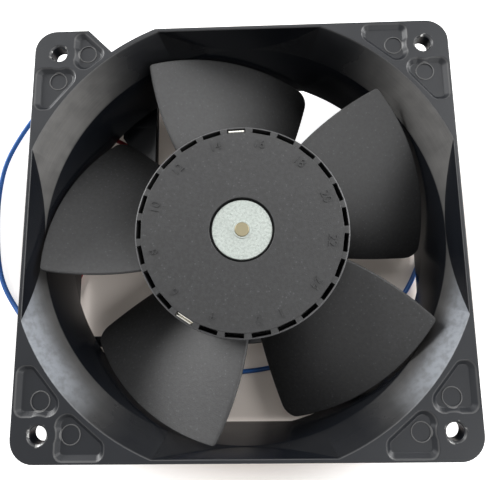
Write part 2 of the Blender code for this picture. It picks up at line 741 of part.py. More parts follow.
def build_rotor(finishes, axis):
    """Steel cup, magnet, zinc boss, shaft, shim and retaining ring."""
    cup_outer = HUB_RADIUS - HUB_WALL - SEAT_GAP
    cup_inner = cup_outer - CUP_WALL
    cup_rear = REAR + CUP_REAR_HEIGHT
    cup_hole = BOSS_NECK_RADIUS + SEAT_GAP
    add_object("rotor_cup", revolve([(cup_hole, CUP_FACE), (cup_outer, CUP_FACE), (cup_outer, cup_rear),
                                     (cup_inner, cup_rear), (cup_inner, CUP_CEILING),
                                     (cup_hole, CUP_CEILING)], ROUND_STEPS), finishes["steel"], axis)
    magnet_outer = cup_inner - SEAT_GAP
    magnet_inner = magnet_outer - MAGNET_THICKNESS
    magnet_rear = REAR + MAGNET_REAR_HEIGHT
    magnet_front = CUP_CEILING - MAGNET_FRONT_CLEARANCE
    add_object("rotor_magnet", revolve([(magnet_inner, magnet_front), (magnet_outer, magnet_front),
                                        (magnet_outer, magnet_rear), (magnet_inner, magnet_rear)],
                                       ROUND_STEPS), finishes["magnet"], axis)
    face = FRONT - BOSS_FACE_SETBACK
    collar = face + BOSS_COLLAR_HEIGHT
    disc_rear = CUP_FACE + SEAT_GAP
    bore = SHAFT_RADIUS + SEAT_GAP
    boss = [(bore, collar), (BOSS_COLLAR_RADIUS, collar), (BOSS_COLLAR_RADIUS, face), (BOSS_RADIUS, face),
            (BOSS_RADIUS, disc_rear), (BOSS_NECK_RADIUS, disc_rear), (BOSS_NECK_RADIUS, BOSS_NECK_REAR),
            (bore, BOSS_NECK_REAR)]
    add_object("rotor_boss", revolve(boss, BOSS_STEPS), finishes["zinc"], axis)
    tip = collar + SHAFT_PROUD
    rear = REAR + SHAFT_REAR_HEIGHT
    groove = SHAFT_RADIUS - SHAFT_GROOVE_DEPTH
    groove_low = REAR + RING_GROOVE_HEIGHT
    groove_high = groove_low + RING_THICKNESS + SEAT_GAP + SEAT_GAP
    add_object("shaft", revolve([(0.0, tip), (SHAFT_RADIUS - SHAFT_CHAMFER, tip),
                                 (SHAFT_RADIUS, tip - SHAFT_CHAMFER), (SHAFT_RADIUS, groove_high),
                                 (groove, groove_high), (groove, groove_low), (SHAFT_RADIUS, groove_low),
                                 (SHAFT_RADIUS, rear + SHAFT_CHAMFER), (SHAFT_RADIUS - SHAFT_CHAMFER, rear),
                                 (0.0, rear)], TINY_STEPS), finishes["steel"], axis)
    ring_low = groove_low + SEAT_GAP
    ring = bmesh.new()
    ring_inner = groove + SEAT_GAP
    opening = asin(RING_OPENING / 2 / RING_RADIUS)
    inner_opening = asin(RING_OPENING / 2 / ring_inner)
    outline = circle_points(RING_RADIUS, TINY_STEPS, opening, tau - opening - opening)
    outline += list(reversed(circle_points(ring_inner, TINY_STEPS, inner_opening,
                                           tau - inner_opening - inner_opening)))
    prism(outline, ring_low, ring_low + RING_THICKNESS, ring)
    add_object("retaining_ring", ring, finishes["steel"], axis)
    shim_low = ring_low + RING_THICKNESS + SEAT_GAP
    shim_inner = BEARING_INNER_RADIUS
    shim_high = shim_low + SHIM_THICKNESS
    shim = [(shim_inner, shim_high), (RING_RADIUS, shim_high), (RING_RADIUS, shim_low),
            (shim_inner, shim_low)]
    add_object("shaft_shim", revolve(shim, TINY_STEPS), finishes["steel"], axis)
    build_spring(finishes["steel"], axis, FRONT_BEARING_LOW + BEARING_WIDTH, BOSS_NECK_REAR)


def build_spring(finish, axis, low, high):
    """Preload spring round the shaft, between the front bearing and the boss."""
    start = low + SEAT_GAP + SPRING_WIRE
    rise = high - SEAT_GAP - SPRING_WIRE - start
    steps = 9 * SPRING_TURNS
    curve = bpy.data.curves.new("preload_spring", 'CURVE')
    curve.dimensions = '3D'
    curve.bevel_depth = SPRING_WIRE
    curve.bevel_resolution = 1
    curve.use_fill_caps = True
    spline = curve.splines.new('POLY')
    spline.points.add(steps)
    for step in range(steps + 1):
        angle = tau * SPRING_TURNS * step / steps
        spline.points[step].co = (SPRING_RADIUS * cos(angle), SPRING_RADIUS * sin(angle),
                                  start + rise * step / steps, 1.0)
    spring = bpy.data.objects.new("preload_spring", curve)
    bpy.context.scene.collection.objects.link(spring)
    curve.materials.append(finish)
    spring.parent = axis


# Bearings


def race_arc(side):
    """Groove of a bearing ring: side -1 for the inner ring, 1 for the outer ring."""
    pitch = (BEARING_INNER_RADIUS + BEARING_OUTER_RADIUS) / 2
    groove = BALL_RADIUS + SEAT_GAP
    if side < 0:
        land = BEARING_INNER_RADIUS + BEARING_RACE
    else:
        land = BEARING_OUTER_RADIUS - BEARING_RACE
    half = sqrt(groove ** 2 - (land - pitch) ** 2)
    limit = asin(half / groove)
    return [(pitch + side * groove * cos(limit * turn), groove * sin(limit * turn))
            for turn in (1.0, 0.0, -1.0)], land


def build_bearing(label, low, finishes, axis, cage_axis):
    """Inner ring on the shaft, outer ring in the tube, balls in their cage, two shields."""
    middle = low + BEARING_WIDTH / 2
    top = low + BEARING_WIDTH
    arc, land = race_arc(-1)
    inner = [(BEARING_INNER_RADIUS, top), (land, top)]
    inner += [(radius, middle + height) for radius, height in arc]
    inner += [(land, low), (BEARING_INNER_RADIUS, low)]
    add_object(label + "_bearing_inner_ring", revolve(inner, TINY_STEPS), finishes["steel"], axis)
    arc, land = race_arc(1)
    outer = [(BEARING_OUTER_RADIUS, low), (land, low)]
    outer += [(radius, middle + height) for radius, height in reversed(arc)]
    outer += [(land, top), (BEARING_OUTER_RADIUS, top)]
    add_object(label + "_bearing_outer_ring", revolve(outer, TINY_STEPS), finishes["steel"])
    pitch = (BEARING_INNER_RADIUS + BEARING_OUTER_RADIUS) / 2
    band = [(pitch - CAGE_BAND / 2, CAGE_HEIGHT / 2), (pitch + CAGE_BAND / 2, CAGE_HEIGHT / 2),
            (pitch + CAGE_BAND / 2, -CAGE_HEIGHT / 2), (pitch - CAGE_BAND / 2, -CAGE_HEIGHT / 2)]
    cage = add_object(label + "_bearing_balls", revolve(band, BALL_COUNT + BALL_COUNT), finishes["steel"],
                      cage_axis)
    balls = bmesh.new()
    for ball in range(BALL_COUNT):
        angle = tau * ball / BALL_COUNT
        made = bmesh.ops.create_uvsphere(balls, u_segments=6, v_segments=4, radius=BALL_RADIUS)
        bmesh.ops.translate(balls, verts=made["verts"], vec=(pitch * cos(angle), pitch * sin(angle), 0.0))
    ball_tool = add_tool(label + "_balls", balls)
    ball_tool.parent = cage_axis
    combine(cage, ball_tool, 'UNION')
    shield_outer = BEARING_OUTER_RADIUS - BEARING_RACE - SEAT_GAP
    for side, face in (("lower", low), ("upper", top - SHIELD_THICKNESS)):
        add_object("%s_bearing_%s_shield" % (label, side),
                   revolve([(SHIELD_BORE, face + SHIELD_THICKNESS), (shield_outer, face + SHIELD_THICKNESS),
                            (shield_outer, face), (SHIELD_BORE, face)], TINY_STEPS), finishes["steel"])


def build_bearing_tube(finish):
    """Tube on the motor plate, with a shoulder that parts the two bearings."""
    low = REAR + PLATE_FLOOR + SEAT_GAP
    top = FRONT_BEARING_LOW + BEARING_WIDTH + TUBE_LIP
    bore = BEARING_OUTER_RADIUS + SEAT_GAP
    shoulder = bore - TUBE_SHOULDER
    lower_seat = REAR_BEARING_LOW + BEARING_WIDTH + SEAT_GAP
    upper_seat = FRONT_BEARING_LOW - SEAT_GAP
    outer = bore + TUBE_WALL
    profile = [(bore, top), (outer, top), (outer, low), (bore, low), (bore, lower_seat),
               (shoulder, lower_seat), (shoulder, upper_seat), (bore, upper_seat)]
    add_object("bearing_tube", revolve(profile, ROUND_STEPS), finish)
    return outer


# Stator and electronics


def stator_radius():
    """Outside radius of the stator, an air gap inside the magnet."""
    cup_inner = HUB_RADIUS - HUB_WALL - SEAT_GAP - CUP_WALL
    return cup_inner - SEAT_GAP - MAGNET_THICKNESS - AIR_GAP


def arc_between(radius, first, last, steps):
    """Points of an arc from one angle to another, both ends included."""
    return circle_points(radius, steps, first, last - first)


def stator_outline(outer, yoke, neck, shoe):
    """Plan of a stator with T-shaped poles, from one pole's shoe to the next."""
    points = []
    half_shoe = pi / STATOR_POLES * (1.0 - STATOR_SLOT_SHARE)
    inner_shoe = outer - shoe
    neck_in = asin(neck / 2 / yoke)
    neck_out = asin(neck / 2 / inner_shoe)
    for pole in range(STATOR_POLES):
        middle = tau * pole / STATOR_POLES
        points += arc_between(yoke, middle - pi / STATOR_POLES, middle - neck_in, 1)
        points += arc_between(inner_shoe, middle - neck_out, middle - half_shoe, 2)
        points += arc_between(outer, middle - half_shoe, middle + half_shoe, 5)
        points += arc_between(inner_shoe, middle + half_shoe, middle + neck_out, 2)
        points += arc_between(yoke, middle + neck_in, middle + pi / STATOR_POLES, 1)[:-1]
    return points


def stator_piece(name, outline, bore, low, high, finish):
    """A stator-shaped plate with a round bore."""
    piece = add_object(name, prism(outline, low, high), finish)
    hole = add_tool(name + "_bore", revolve([(0.0, low - OVERRUN), (bore, low - OVERRUN),
                                             (bore, high + OVERRUN), (0.0, high + OVERRUN)], ROUND_STEPS))
    combine(piece, hole, 'DIFFERENCE')
    return piece


def build_stator(finishes, tube_outer):
    """Laminated core, an insulator on each face and a coil round each pole's neck."""
    bore = tube_outer + SEAT_GAP
    outer = stator_radius()
    yoke = bore + STATOR_YOKE
    low = REAR + STATOR_REAR_HEIGHT
    high = CUP_CEILING - STATOR_FRONT_CLEARANCE
    core_outline = stator_outline(outer, yoke, STATOR_NECK, STATOR_SHOE)
    stator_piece("stator_core", core_outline, bore, low, high, finishes["laminations"])
    cover = stator_outline(outer - INSULATOR_INSET, yoke, STATOR_NECK, STATOR_SHOE)
    stator_piece("upper_insulator", cover, bore, high + SEAT_GAP, high + SEAT_GAP + INSULATOR_THICKNESS,
                 finishes["nylon"])
    stator_piece("lower_insulator", cover, bore, low - SEAT_GAP - INSULATOR_THICKNESS, low - SEAT_GAP,
                 finishes["nylon"])
    half_width = STATOR_NECK / 2 + COIL_CLEARANCE
    half_height = (high - low) / 2 + SEAT_GAP + INSULATOR_THICKNESS + COIL_CLEARANCE
    shoe_edge = outer - INSULATOR_INSET - STATOR_SHOE
    outer_reach = sqrt(shoe_edge ** 2 - (half_width + COIL_THICKNESS) ** 2) - COIL_CLEARANCE
    inner_reach = yoke + COIL_CLEARANCE
    centre = (low + high) / 2
    for pole in range(STATOR_POLES):
        angle = tau * pole / STATOR_POLES
        build_coil("coil_%d" % (pole + 1), angle, (inner_reach, outer_reach), (half_width, half_height),
                   centre, finishes["copper"])


def build_coil(name, angle, reach, half, centre, finish):
    """A wound coil as one racetrack ring round a pole's neck."""
    builder = bmesh.new()
    full = (half[0] + COIL_THICKNESS, half[1] + COIL_THICKNESS)
    outside = rounded_outline(rectangle(full[0], full[1]), COIL_THICKNESS, 3)
    inside = rounded_outline(rectangle(half[0], half[1]), COIL_CLEARANCE, 3)
    loops = []
    for outline, along in ((outside, reach[0]), (outside, reach[1]), (inside, reach[1]), (inside, reach[0])):
        loops.append([builder.verts.new((along * cos(angle) - across * sin(angle),
                                         along * sin(angle) + across * cos(angle), centre + height))
                      for across, height in outline])
    for index, loop in enumerate(loops):
        following = loops[(index + 1) % len(loops)]
        for step in range(len(loop)):
            after = (step + 1) % len(loop)
            builder.faces.new((loop[step], loop[after], following[after], following[step]))
    add_object(name, builder, finish)


def placed_box(name, size, distance, angle, low, finish):
    """A block at a distance and angle from the axis, square to that direction."""
    outline = [(distance - size[1] / 2, -size[0] / 2), (distance + size[1] / 2, -size[0] / 2),
               (distance + size[1] / 2, size[0] / 2), (distance - size[1] / 2, size[0] / 2)]
    add_object(name, prism(turned(outline, angle), low, low + size[2]), finish)


def build_electronics(finishes, tube_outer):
    """Insulating film, circuit board and the parts on it."""
    bore = tube_outer + BOARD_BORE_CLEARANCE
    film_low = REAR + PLATE_FLOOR + SEAT_GAP
    film_top = film_low + FILM_THICKNESS
    add_object("insulating_film", revolve([(bore, film_top), (FILM_RADIUS, film_top), (FILM_RADIUS, film_low),
                                           (bore, film_low)], ROUND_STEPS), finishes["film"])
    low = REAR + BOARD_HEIGHT
    top = low + BOARD_THICKNESS
    add_object("circuit_board", revolve([(bore, top), (BOARD_RADIUS, top), (BOARD_RADIUS, low), (bore, low)],
                                        ROUND_STEPS), finishes["board"])
    distance = BOARD_RADIUS * PART_RADIUS_SHARE
    under = low - SEAT_GAP
    for number, angle in enumerate(CHIP_ANGLES, 1):
        placed_box("driver_chip_%d" % number, CHIP_SIZE, distance, angle, under - CHIP_SIZE[2],
                   finishes["chip"])
    placed_box("hall_sensor", HALL_SIZE, BOARD_RADIUS - HALL_SIZE[1], pi / STATOR_POLES, top + SEAT_GAP,
               finishes["chip"])
    bottom = under - CAPACITOR_LENGTH
    centre = (distance * cos(CAPACITOR_ANGLE), distance * sin(CAPACITOR_ANGLE))
    add_object("capacitor", revolve([(0.0, under), (CAPACITOR_RADIUS, under), (CAPACITOR_RADIUS, bottom),
                                     (0.0, bottom)], TINY_STEPS, None, centre), finishes["tin"])


# Leads


def smooth_route(route, spacing):
    """Evenly spaced points on a smooth curve through the route's points."""
    points = [Vector(point) for point in route]
    padded = [points[0] * 2 - points[1]] + points + [points[-1] * 2 - points[-2]]
    fine = []
    for index in range(1, len(padded) - 2):
        before, start, end, after = padded[index - 1:index + 3]
        knots = [0.0]
        for near, far in ((before, start), (start, end), (end, after)):
            knots.append(knots[-1] + sqrt((far - near).length))
        steps = 24
        for step in range(steps):
            place = knots[1] + (knots[2] - knots[1]) * step / steps
            fine.append(spline_point(before, start, end, after, knots, place))
    fine.append(points[-1])
    total = sum((far - near).length for near, far in zip(fine, fine[1:]))
    count = max(int(ceil(total / spacing)), 2)
    even = [fine[0]]
    walked = 0.0
    for near, far in zip(fine, fine[1:]):
        stretch = (far - near).length
        while len(even) < count and walked + stretch >= total * len(even) / count:
            share = (total * len(even) / count - walked) / stretch
            even.append(near.lerp(far, share))
            even[-1].z = max(even[-1].z, LEAD_SURFACE)
        walked += stretch
    even.append(fine[-1])
    return even, total


def spline_point(before, start, end, after, knots, place):
    """Centripetal Catmull-Rom point between start and end."""
    def mix(first, second, low, high):
        return first * ((high - place) / (high - low)) + second * ((place - low) / (high - low))
    one = mix(before, start, knots[0], knots[1])
    two = mix(start, end, knots[1], knots[2])
    three = mix(end, after, knots[2], knots[3])
    left = mix(one, two, knots[0], knots[2])
    right = mix(two, three, knots[1], knots[3])
    return mix(left, right, knots[1], knots[2])


def build_cord(name, points, radius, finish):
    """A round cord along points, closed at both ends."""
    curve = bpy.data.curves.new(name, 'CURVE')
    curve.dimensions = '3D'
    curve.bevel_depth = radius
    curve.bevel_resolution = 2
    curve.use_fill_caps = True
    spline = curve.splines.new('POLY')
    spline.points.add(len(points) - 1)
    for place, point in zip(spline.points, points):
        place.co = (*point, 1.0)
    cord = bpy.data.objects.new(name, curve)
    bpy.context.scene.collection.objects.link(cord)
    curve.materials.append(finish)


CHANNEL_LEVEL = REAR + LEAD_HEIGHT
SOLDER_LEVEL = REAR + BOARD_HEIGHT - SEAT_GAP - LEAD_RADIUS
CROSSING_LEVEL = LEAD_SURFACE + LEAD_RADIUS + SEAT_GAP + LEAD_RADIUS

RED_ROUTE = [
    (-0.0195, -0.0095, SOLDER_LEVEL),
    (-0.0246, -0.0076, REAR + 0.0041),
    (-0.0298, -0.0040, CHANNEL_LEVEL),
    (-0.0340, 0.0012, CHANNEL_LEVEL),
    (-0.0362, 0.0080, CHANNEL_LEVEL),
    (-0.0366, 0.0180, CHANNEL_LEVEL),
    (-0.0366, 0.0300, CHANNEL_LEVEL),
    (-0.0366, 0.0440, CHANNEL_LEVEL),
    (-0.0366, 0.0540, CHANNEL_LEVEL),
    (-0.0374, 0.0585, REAR + 0.0004),
    (-0.0395, 0.0630, LEAD_SURFACE),
    (-0.0445, 0.0668, LEAD_SURFACE),
    (-0.0520, 0.0668, LEAD_SURFACE),
    (-0.0575, 0.0620, LEAD_SURFACE),
    (-0.0585, 0.0540, LEAD_SURFACE),
    (-0.0550, 0.0468, LEAD_SURFACE),
    (-0.0490, 0.0421, LEAD_SURFACE),
    (-0.0434, 0.0385, LEAD_SURFACE),
    (-0.0400, 0.0330, LEAD_SURFACE),
    (-0.0405, 0.0220, LEAD_SURFACE),
    (-0.0480, 0.0080, LEAD_SURFACE),
    (-0.0550, -0.0010, LEAD_SURFACE),
    (-0.0589, -0.0078, LEAD_SURFACE),
    (-0.0614, -0.0139, LEAD_SURFACE),
    (-0.0662, -0.0225, LEAD_SURFACE),
    (-0.0700, -0.0310, LEAD_SURFACE),
    (-0.0705, -0.0420, LEAD_SURFACE),
    (-0.0670, -0.0540, LEAD_SURFACE),
    (-0.0580, -0.0635, LEAD_SURFACE),
    (-0.0440, -0.0675, LEAD_SURFACE),
    (-0.0260, -0.0680, LEAD_SURFACE),
    (-0.0060, -0.0668, LEAD_SURFACE),
    (0.0140, -0.0660, LEAD_SURFACE),
    (0.0340, -0.0672, LEAD_SURFACE),
    (0.0500, -0.0670, LEAD_SURFACE),
    (0.0620, -0.0620, LEAD_SURFACE),
    (0.0680, -0.0540, LEAD_SURFACE),
]

BLUE_ROUTE = [
    (-0.0200, -0.0055, SOLDER_LEVEL),
    (-0.0252, -0.0042, REAR + 0.0044),
    (-0.0290, -0.0006, REAR + 0.0021),
    (-0.0320, 0.0040, CHANNEL_LEVEL),
    (-0.0339, 0.0098, CHANNEL_LEVEL),
    (-0.0346, 0.0185, CHANNEL_LEVEL),
    (-0.0346, 0.0300, CHANNEL_LEVEL),
    (-0.0346, 0.0440, CHANNEL_LEVEL),
    (-0.0346, 0.0540, CHANNEL_LEVEL),
    (-0.0348, 0.0590, REAR + 0.0004),
    (-0.0358, 0.0640, LEAD_SURFACE),
    (-0.0400, 0.0694, LEAD_SURFACE),
    (-0.0500, 0.0712, LEAD_SURFACE),
    (-0.0630, 0.0672, LEAD_SURFACE),
    (-0.0735, 0.0588, LEAD_SURFACE),
    (-0.0814, 0.0488, LEAD_SURFACE),
    (-0.0885, 0.0352, LEAD_SURFACE),
    (-0.0907, 0.0248, LEAD_SURFACE),
    (-0.0907, 0.0080, LEAD_SURFACE),
    (-0.0879, -0.0089, LEAD_SURFACE),
    (-0.0825, -0.0190, LEAD_SURFACE),
    (-0.0738, -0.0284, CROSSING_LEVEL),
    (-0.0672, -0.0336, CROSSING_LEVEL),
    (-0.0590, -0.0378, LEAD_SURFACE),
    (-0.0440, -0.0425, LEAD_SURFACE),
    (-0.0240, -0.0440, LEAD_SURFACE),
    (-0.0028, -0.0427, LEAD_SURFACE),
    (0.0070, -0.0415, LEAD_SURFACE),
    (0.0330, -0.0345, LEAD_SURFACE),
    (0.0538, -0.0179, LEAD_SURFACE),
    (0.0617, -0.0029, LEAD_SURFACE),
    (0.0632, 0.0020, LEAD_SURFACE),
]


def build_leads(finishes):
    """Blue and red lead from the circuit board to their tinned ends."""
    for colour, route in (("blue", BLUE_ROUTE), ("red", RED_ROUTE)):
        points, length = smooth_route(route, LEAD_POINT_SPACING)
        print("%s lead: %.1f mm over %d points" % (colour, length / MILLIMETRE, len(points)))
        build_cord(colour + "_lead", points, LEAD_RADIUS, finishes[colour])
        heading = (points[-1] - points[-2]).normalized()
        start = points[-1] + heading * SEAT_GAP
        build_cord(colour + "_lead_tip", [start, start + heading * LEAD_TIP_LENGTH], LEAD_TIP_RADIUS,
                   finishes["tin"])


def build_lead_clip(finish):
    """Clip that holds both leads where they leave the duct's wall."""
    width = CABLE_SLOT_WIDTH - SEAT_GAP - SEAT_GAP
    left = CABLE_MIDDLE - width / 2
    bell = BELL_RADIUS + BELL_WALL
    start = CABLE_END + SEAT_GAP
    end = sqrt(bell ** 2 - left ** 2) - SEAT_GAP
    low = REAR + SEAT_GAP
    high = REAR + CABLE_SLOT_HEIGHT - SEAT_GAP
    block = box((left, start, low), (left + width, end, high))
    clip = add_object("lead_clip", block, finish)
    hole = LEAD_RADIUS + SEAT_GAP
    outline = [(CABLE_MIDDLE + side * LEAD_SPACING / 2 + hole * cos(angle), CHANNEL_LEVEL + hole * sin(angle))
               for side, first in ((1.0, -90), (-1.0, 90))
               for angle in (radians(first + step * 30) for step in range(7))]
    builder = bmesh.new()
    near = [builder.verts.new((x, start - OVERRUN, z)) for x, z in outline]
    far = [builder.verts.new((x, end + OVERRUN, z)) for x, z in outline]
    builder.faces.new(near)
    builder.faces.new(list(reversed(far)))
    for index in range(len(near)):
        after = (index + 1) % len(near)
        builder.faces.new((near[index], far[index], far[after], near[after]))
    combine(clip, add_tool("lead_passage", builder), 'DIFFERENCE')


def turning_axis(name):
    """An empty on the shaft's axis that carries what turns together."""
    axis = bpy.data.objects.new(name, None)
    bpy.context.scene.collection.objects.link(axis)
    return axis


def main():
    """Build the whole fan."""
    clear_scene()
    finishes = {
        "cast": material("cast_black", (0.030, 0.032, 0.036), 0.42),
        "moulding": material("grey_moulding", (0.060, 0.060, 0.062), 0.55),
        "steel": material("steel", (0.60, 0.60, 0.61), 0.35, 1.0),
        "magnet": material("ferrite", (0.05, 0.05, 0.055), 0.7),
        "zinc": material("zinc", (0.70, 0.73, 0.72), 0.45, 1.0),
        "laminations": material("laminations", (0.42, 0.43, 0.45), 0.4, 1.0),
        "nylon": material("nylon", (0.75, 0.72, 0.62), 0.5),
        "copper": material("copper", (0.62, 0.28, 0.13), 0.35, 1.0),
        "film": material("film", (0.12, 0.11, 0.10), 0.5),
        "board": material("board", (0.03, 0.22, 0.10), 0.45),
        "chip": material("chip", (0.02, 0.02, 0.02), 0.4),
        "tin": material("tin", (0.66, 0.67, 0.68), 0.3, 1.0),
        "clip": material("clip", (0.02, 0.02, 0.022), 0.6),
        "blue": material("blue_sleeve", (0.02, 0.16, 0.46), 0.4),
        "red": material("red_sleeve", (0.42, 0.02, 0.03), 0.4),
    }
    rotor_axis = turning_axis("rotor_axis")
    build_housing(finishes["cast"])
    build_impeller(finishes["moulding"], rotor_axis)
    build_clips(finishes["steel"], rotor_axis)
    build_rotor(finishes, rotor_axis)
    for label, low in (("rear", REAR_BEARING_LOW), ("front", FRONT_BEARING_LOW)):
        cage_axis = turning_axis(label + "_cage_axis")
        cage_axis.location = (0.0, 0.0, low + BEARING_WIDTH / 2)
        build_bearing(label, low, finishes, rotor_axis, cage_axis)
    tube_outer = build_bearing_tube(finishes["steel"])
    build_stator(finishes, tube_outer)
    build_electronics(finishes, tube_outer)
    build_lead_clip(finishes["clip"])
    build_leads(finishes)


main()
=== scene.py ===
"""Looks of an axial cooling fan, 119 mm square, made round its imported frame.

The fan lies on its back on a pale floor, as the frame has it: struts and motor
plate at the bottom, the open face of the impeller on top. Every size is in
metres, and every piece stands where the frame has it.
"""

from __future__ import annotations

import logging
from collections.abc import Callable, Sequence
from dataclasses import dataclass
from enum import Enum
from functools import cached_property, lru_cache
from math import asin, atan2, ceil, cos, hypot, pi, radians, sin, sqrt, tau
from typing import NamedTuple, Union

import bmesh
import bpy
from mathutils import Matrix, Vector


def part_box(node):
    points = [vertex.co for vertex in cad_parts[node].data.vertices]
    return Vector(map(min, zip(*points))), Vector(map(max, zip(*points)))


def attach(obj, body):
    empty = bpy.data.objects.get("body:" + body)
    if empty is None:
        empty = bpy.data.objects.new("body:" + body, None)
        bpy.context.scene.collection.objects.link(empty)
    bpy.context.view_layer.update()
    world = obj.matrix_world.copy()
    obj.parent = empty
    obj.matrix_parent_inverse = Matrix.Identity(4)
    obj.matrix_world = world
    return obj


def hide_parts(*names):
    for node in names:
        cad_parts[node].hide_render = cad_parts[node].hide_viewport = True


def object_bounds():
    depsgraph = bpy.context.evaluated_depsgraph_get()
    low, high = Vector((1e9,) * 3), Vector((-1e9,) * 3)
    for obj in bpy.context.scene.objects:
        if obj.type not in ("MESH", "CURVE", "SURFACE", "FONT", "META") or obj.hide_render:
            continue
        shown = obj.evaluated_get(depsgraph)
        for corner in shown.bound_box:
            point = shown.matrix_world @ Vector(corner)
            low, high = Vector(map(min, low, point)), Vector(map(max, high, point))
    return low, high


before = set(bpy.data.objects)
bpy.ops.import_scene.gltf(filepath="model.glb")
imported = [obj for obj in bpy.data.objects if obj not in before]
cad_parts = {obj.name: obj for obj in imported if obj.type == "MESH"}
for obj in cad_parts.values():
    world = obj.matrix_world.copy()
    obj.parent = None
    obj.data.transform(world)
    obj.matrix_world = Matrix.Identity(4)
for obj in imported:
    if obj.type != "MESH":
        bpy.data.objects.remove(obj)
CAD_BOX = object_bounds()
LOG = logging.getLogger("fan")

Point = tuple[float, float]
Outline = list[Point]
Place = tuple[float, float, float]
Colour = tuple[float, float, float]
Number = Union[float, "Signal"]
Builder = bmesh.types.BMesh
Item = bpy.types.Object

HOUSING_LOW, HOUSING_HIGH = (Vector(corner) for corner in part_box("fan_housing"))
REAR, FRONT, HALF = HOUSING_LOW.z, HOUSING_HIGH.z, HOUSING_HIGH.x
THROAT_RADIUS = 0.0582
BELL_RADIUS = 0.063
HOLE_PLACE = 0.0524
HOLE_RADIUS = 0.00225
POCKET_DEPTH = 0.0012
PIN_PLACE = (0.05255, 0.04425)
HUB_RADIUS = 0.0297
HUB_TOP = 0.0165
OVERRUN = 0.001
BELOW, ABOVE, OUTSIDE = REAR - OVERRUN, FRONT + OVERRUN, HALF + OVERRUN
SEAT_GAP = 0.0003
WELD = 1e-07
BORE_STEPS = 240
ROUND_STEPS = 64
FILLET_STEPS = 4
BLACK = (0.0, 0.0, 0.0)
WHITE = (1.0, 1.0, 1.0)


class Body(Enum):
    """Bodies of the frame that pieces ride on."""

    HOUSING = "housing"
    ROTOR = "rotor"


class Boolean(Enum):
    """What a tool does to the solid it meets."""

    CUT = 'DIFFERENCE'
    JOIN = 'UNION'
    KEEP = 'INTERSECT'


# Nodes

class Signal:
    """A node's socket that Python's operators work on."""

    def __init__(self, kit: NodeKit, socket: bpy.types.NodeSocket) -> None:
        """Wrap one output socket."""
        self.kit = kit
        self.socket = socket

    def math(self, operation: str, *values: Number) -> Signal:
        """Add a Math node with this signal as its first value."""
        inputs = dict(enumerate((self, *values)))
        return self.kit.add('ShaderNodeMath', {"operation": operation}, inputs)

    def beside(self, name: int | str) -> Signal:
        """Another output of the same node."""
        return Signal(self.kit, self.socket.node.outputs[name])

    def __add__(self, other: Number) -> Signal:
        """Sum, from either side."""
        return self.math('ADD', other)

    def __sub__(self, other: Number) -> Signal:
        """Difference."""
        return self.math('SUBTRACT', other)

    def __rsub__(self, other: Number) -> Signal:
        """Difference with a plain number first."""
        return self.math('MULTIPLY', -1.0) + other

    def __mul__(self, other: Number) -> Signal:
        """Product, from either side."""
        return self.math('MULTIPLY', other)

    def __truediv__(self, other: Number) -> Signal:
        """Quotient."""
        return self.math('DIVIDE', other)

    def __abs__(self) -> Signal:
        """Size without its sign."""
        return self.math('ABSOLUTE')

    __radd__ = __add__
    __rmul__ = __mul__

    def root(self) -> Signal:
        """Square root."""
        return self.math('SQRT')

    def diagonal(self, other: Signal) -> Signal:
        """Length of a step of this signal one way and another across it."""
        return (self * self + other * other).root()

    def between(self, low: float, high: float) -> Signal:
        """Rise smoothly from 0 at low to 1 at high; low may be the larger one.

        Args:
            low: Where the result is 0.
            high: Where the result is 1.

        Returns:
            The rise.
        """
        inputs = {"Value": self, "From Min": min(low, high), "From Max": max(low, high)}
        rise = self.kit.add('ShaderNodeMapRange', {"interpolation_type": 'SMOOTHSTEP'}, inputs)
        return 1.0 - rise if low > high else rise


class NodeKit:
    """Adds nodes to one tree."""

    def __init__(self, tree: bpy.types.NodeTree) -> None:
        """Keep the tree that nodes are added to."""
        self.tree = tree

    def plug(self, socket: bpy.types.NodeSocket, value: object) -> None:
        """Link a signal to a socket, or set the socket's own value.

        Args:
            socket: The input to feed.
            value: A signal, a number, or a colour of three numbers.
        """
        if isinstance(value, Signal):
            self.tree.links.new(value.socket, socket)
        elif isinstance(value, tuple) and socket.type == 'RGBA':
            socket.default_value = (*value, 1.0)
        else:
            socket.default_value = value

    def add(self, kind: str, settings: dict[str, object] | None = None,
            inputs: dict[int | str, object] | None = None, output: int | str = 0) -> Signal:
        """Add any node.

        Args:
            kind: The node's type.
            settings: The node's own properties, set before its sockets.
            inputs: Values or signals by the name or number of their socket.
            output: Which output the result stands for.

        Returns:
            The chosen output.
        """
        node = self.tree.nodes.new(kind)
        for name, value in (settings or {}).items():
            setattr(node, name, value)
        for name, value in (inputs or {}).items():
            self.plug(node.inputs[name], value)
        return Signal(self, node.outputs[output])

    def vector(self, x: Number, y: Number, z: Number) -> Signal:
        """Three numbers as one vector."""
        return self.add('ShaderNodeCombineXYZ', inputs={0: x, 1: y, 2: z})

    def mix(self, share: Number, first: Signal | Colour, second: Signal | Colour) -> Signal:
        """Blend two colours, from the first at share 0 to the second at share 1."""
        inputs = {0: share, 6: first, 7: second}
        return self.add('ShaderNodeMix', {"data_type": 'RGBA'}, inputs, 2)


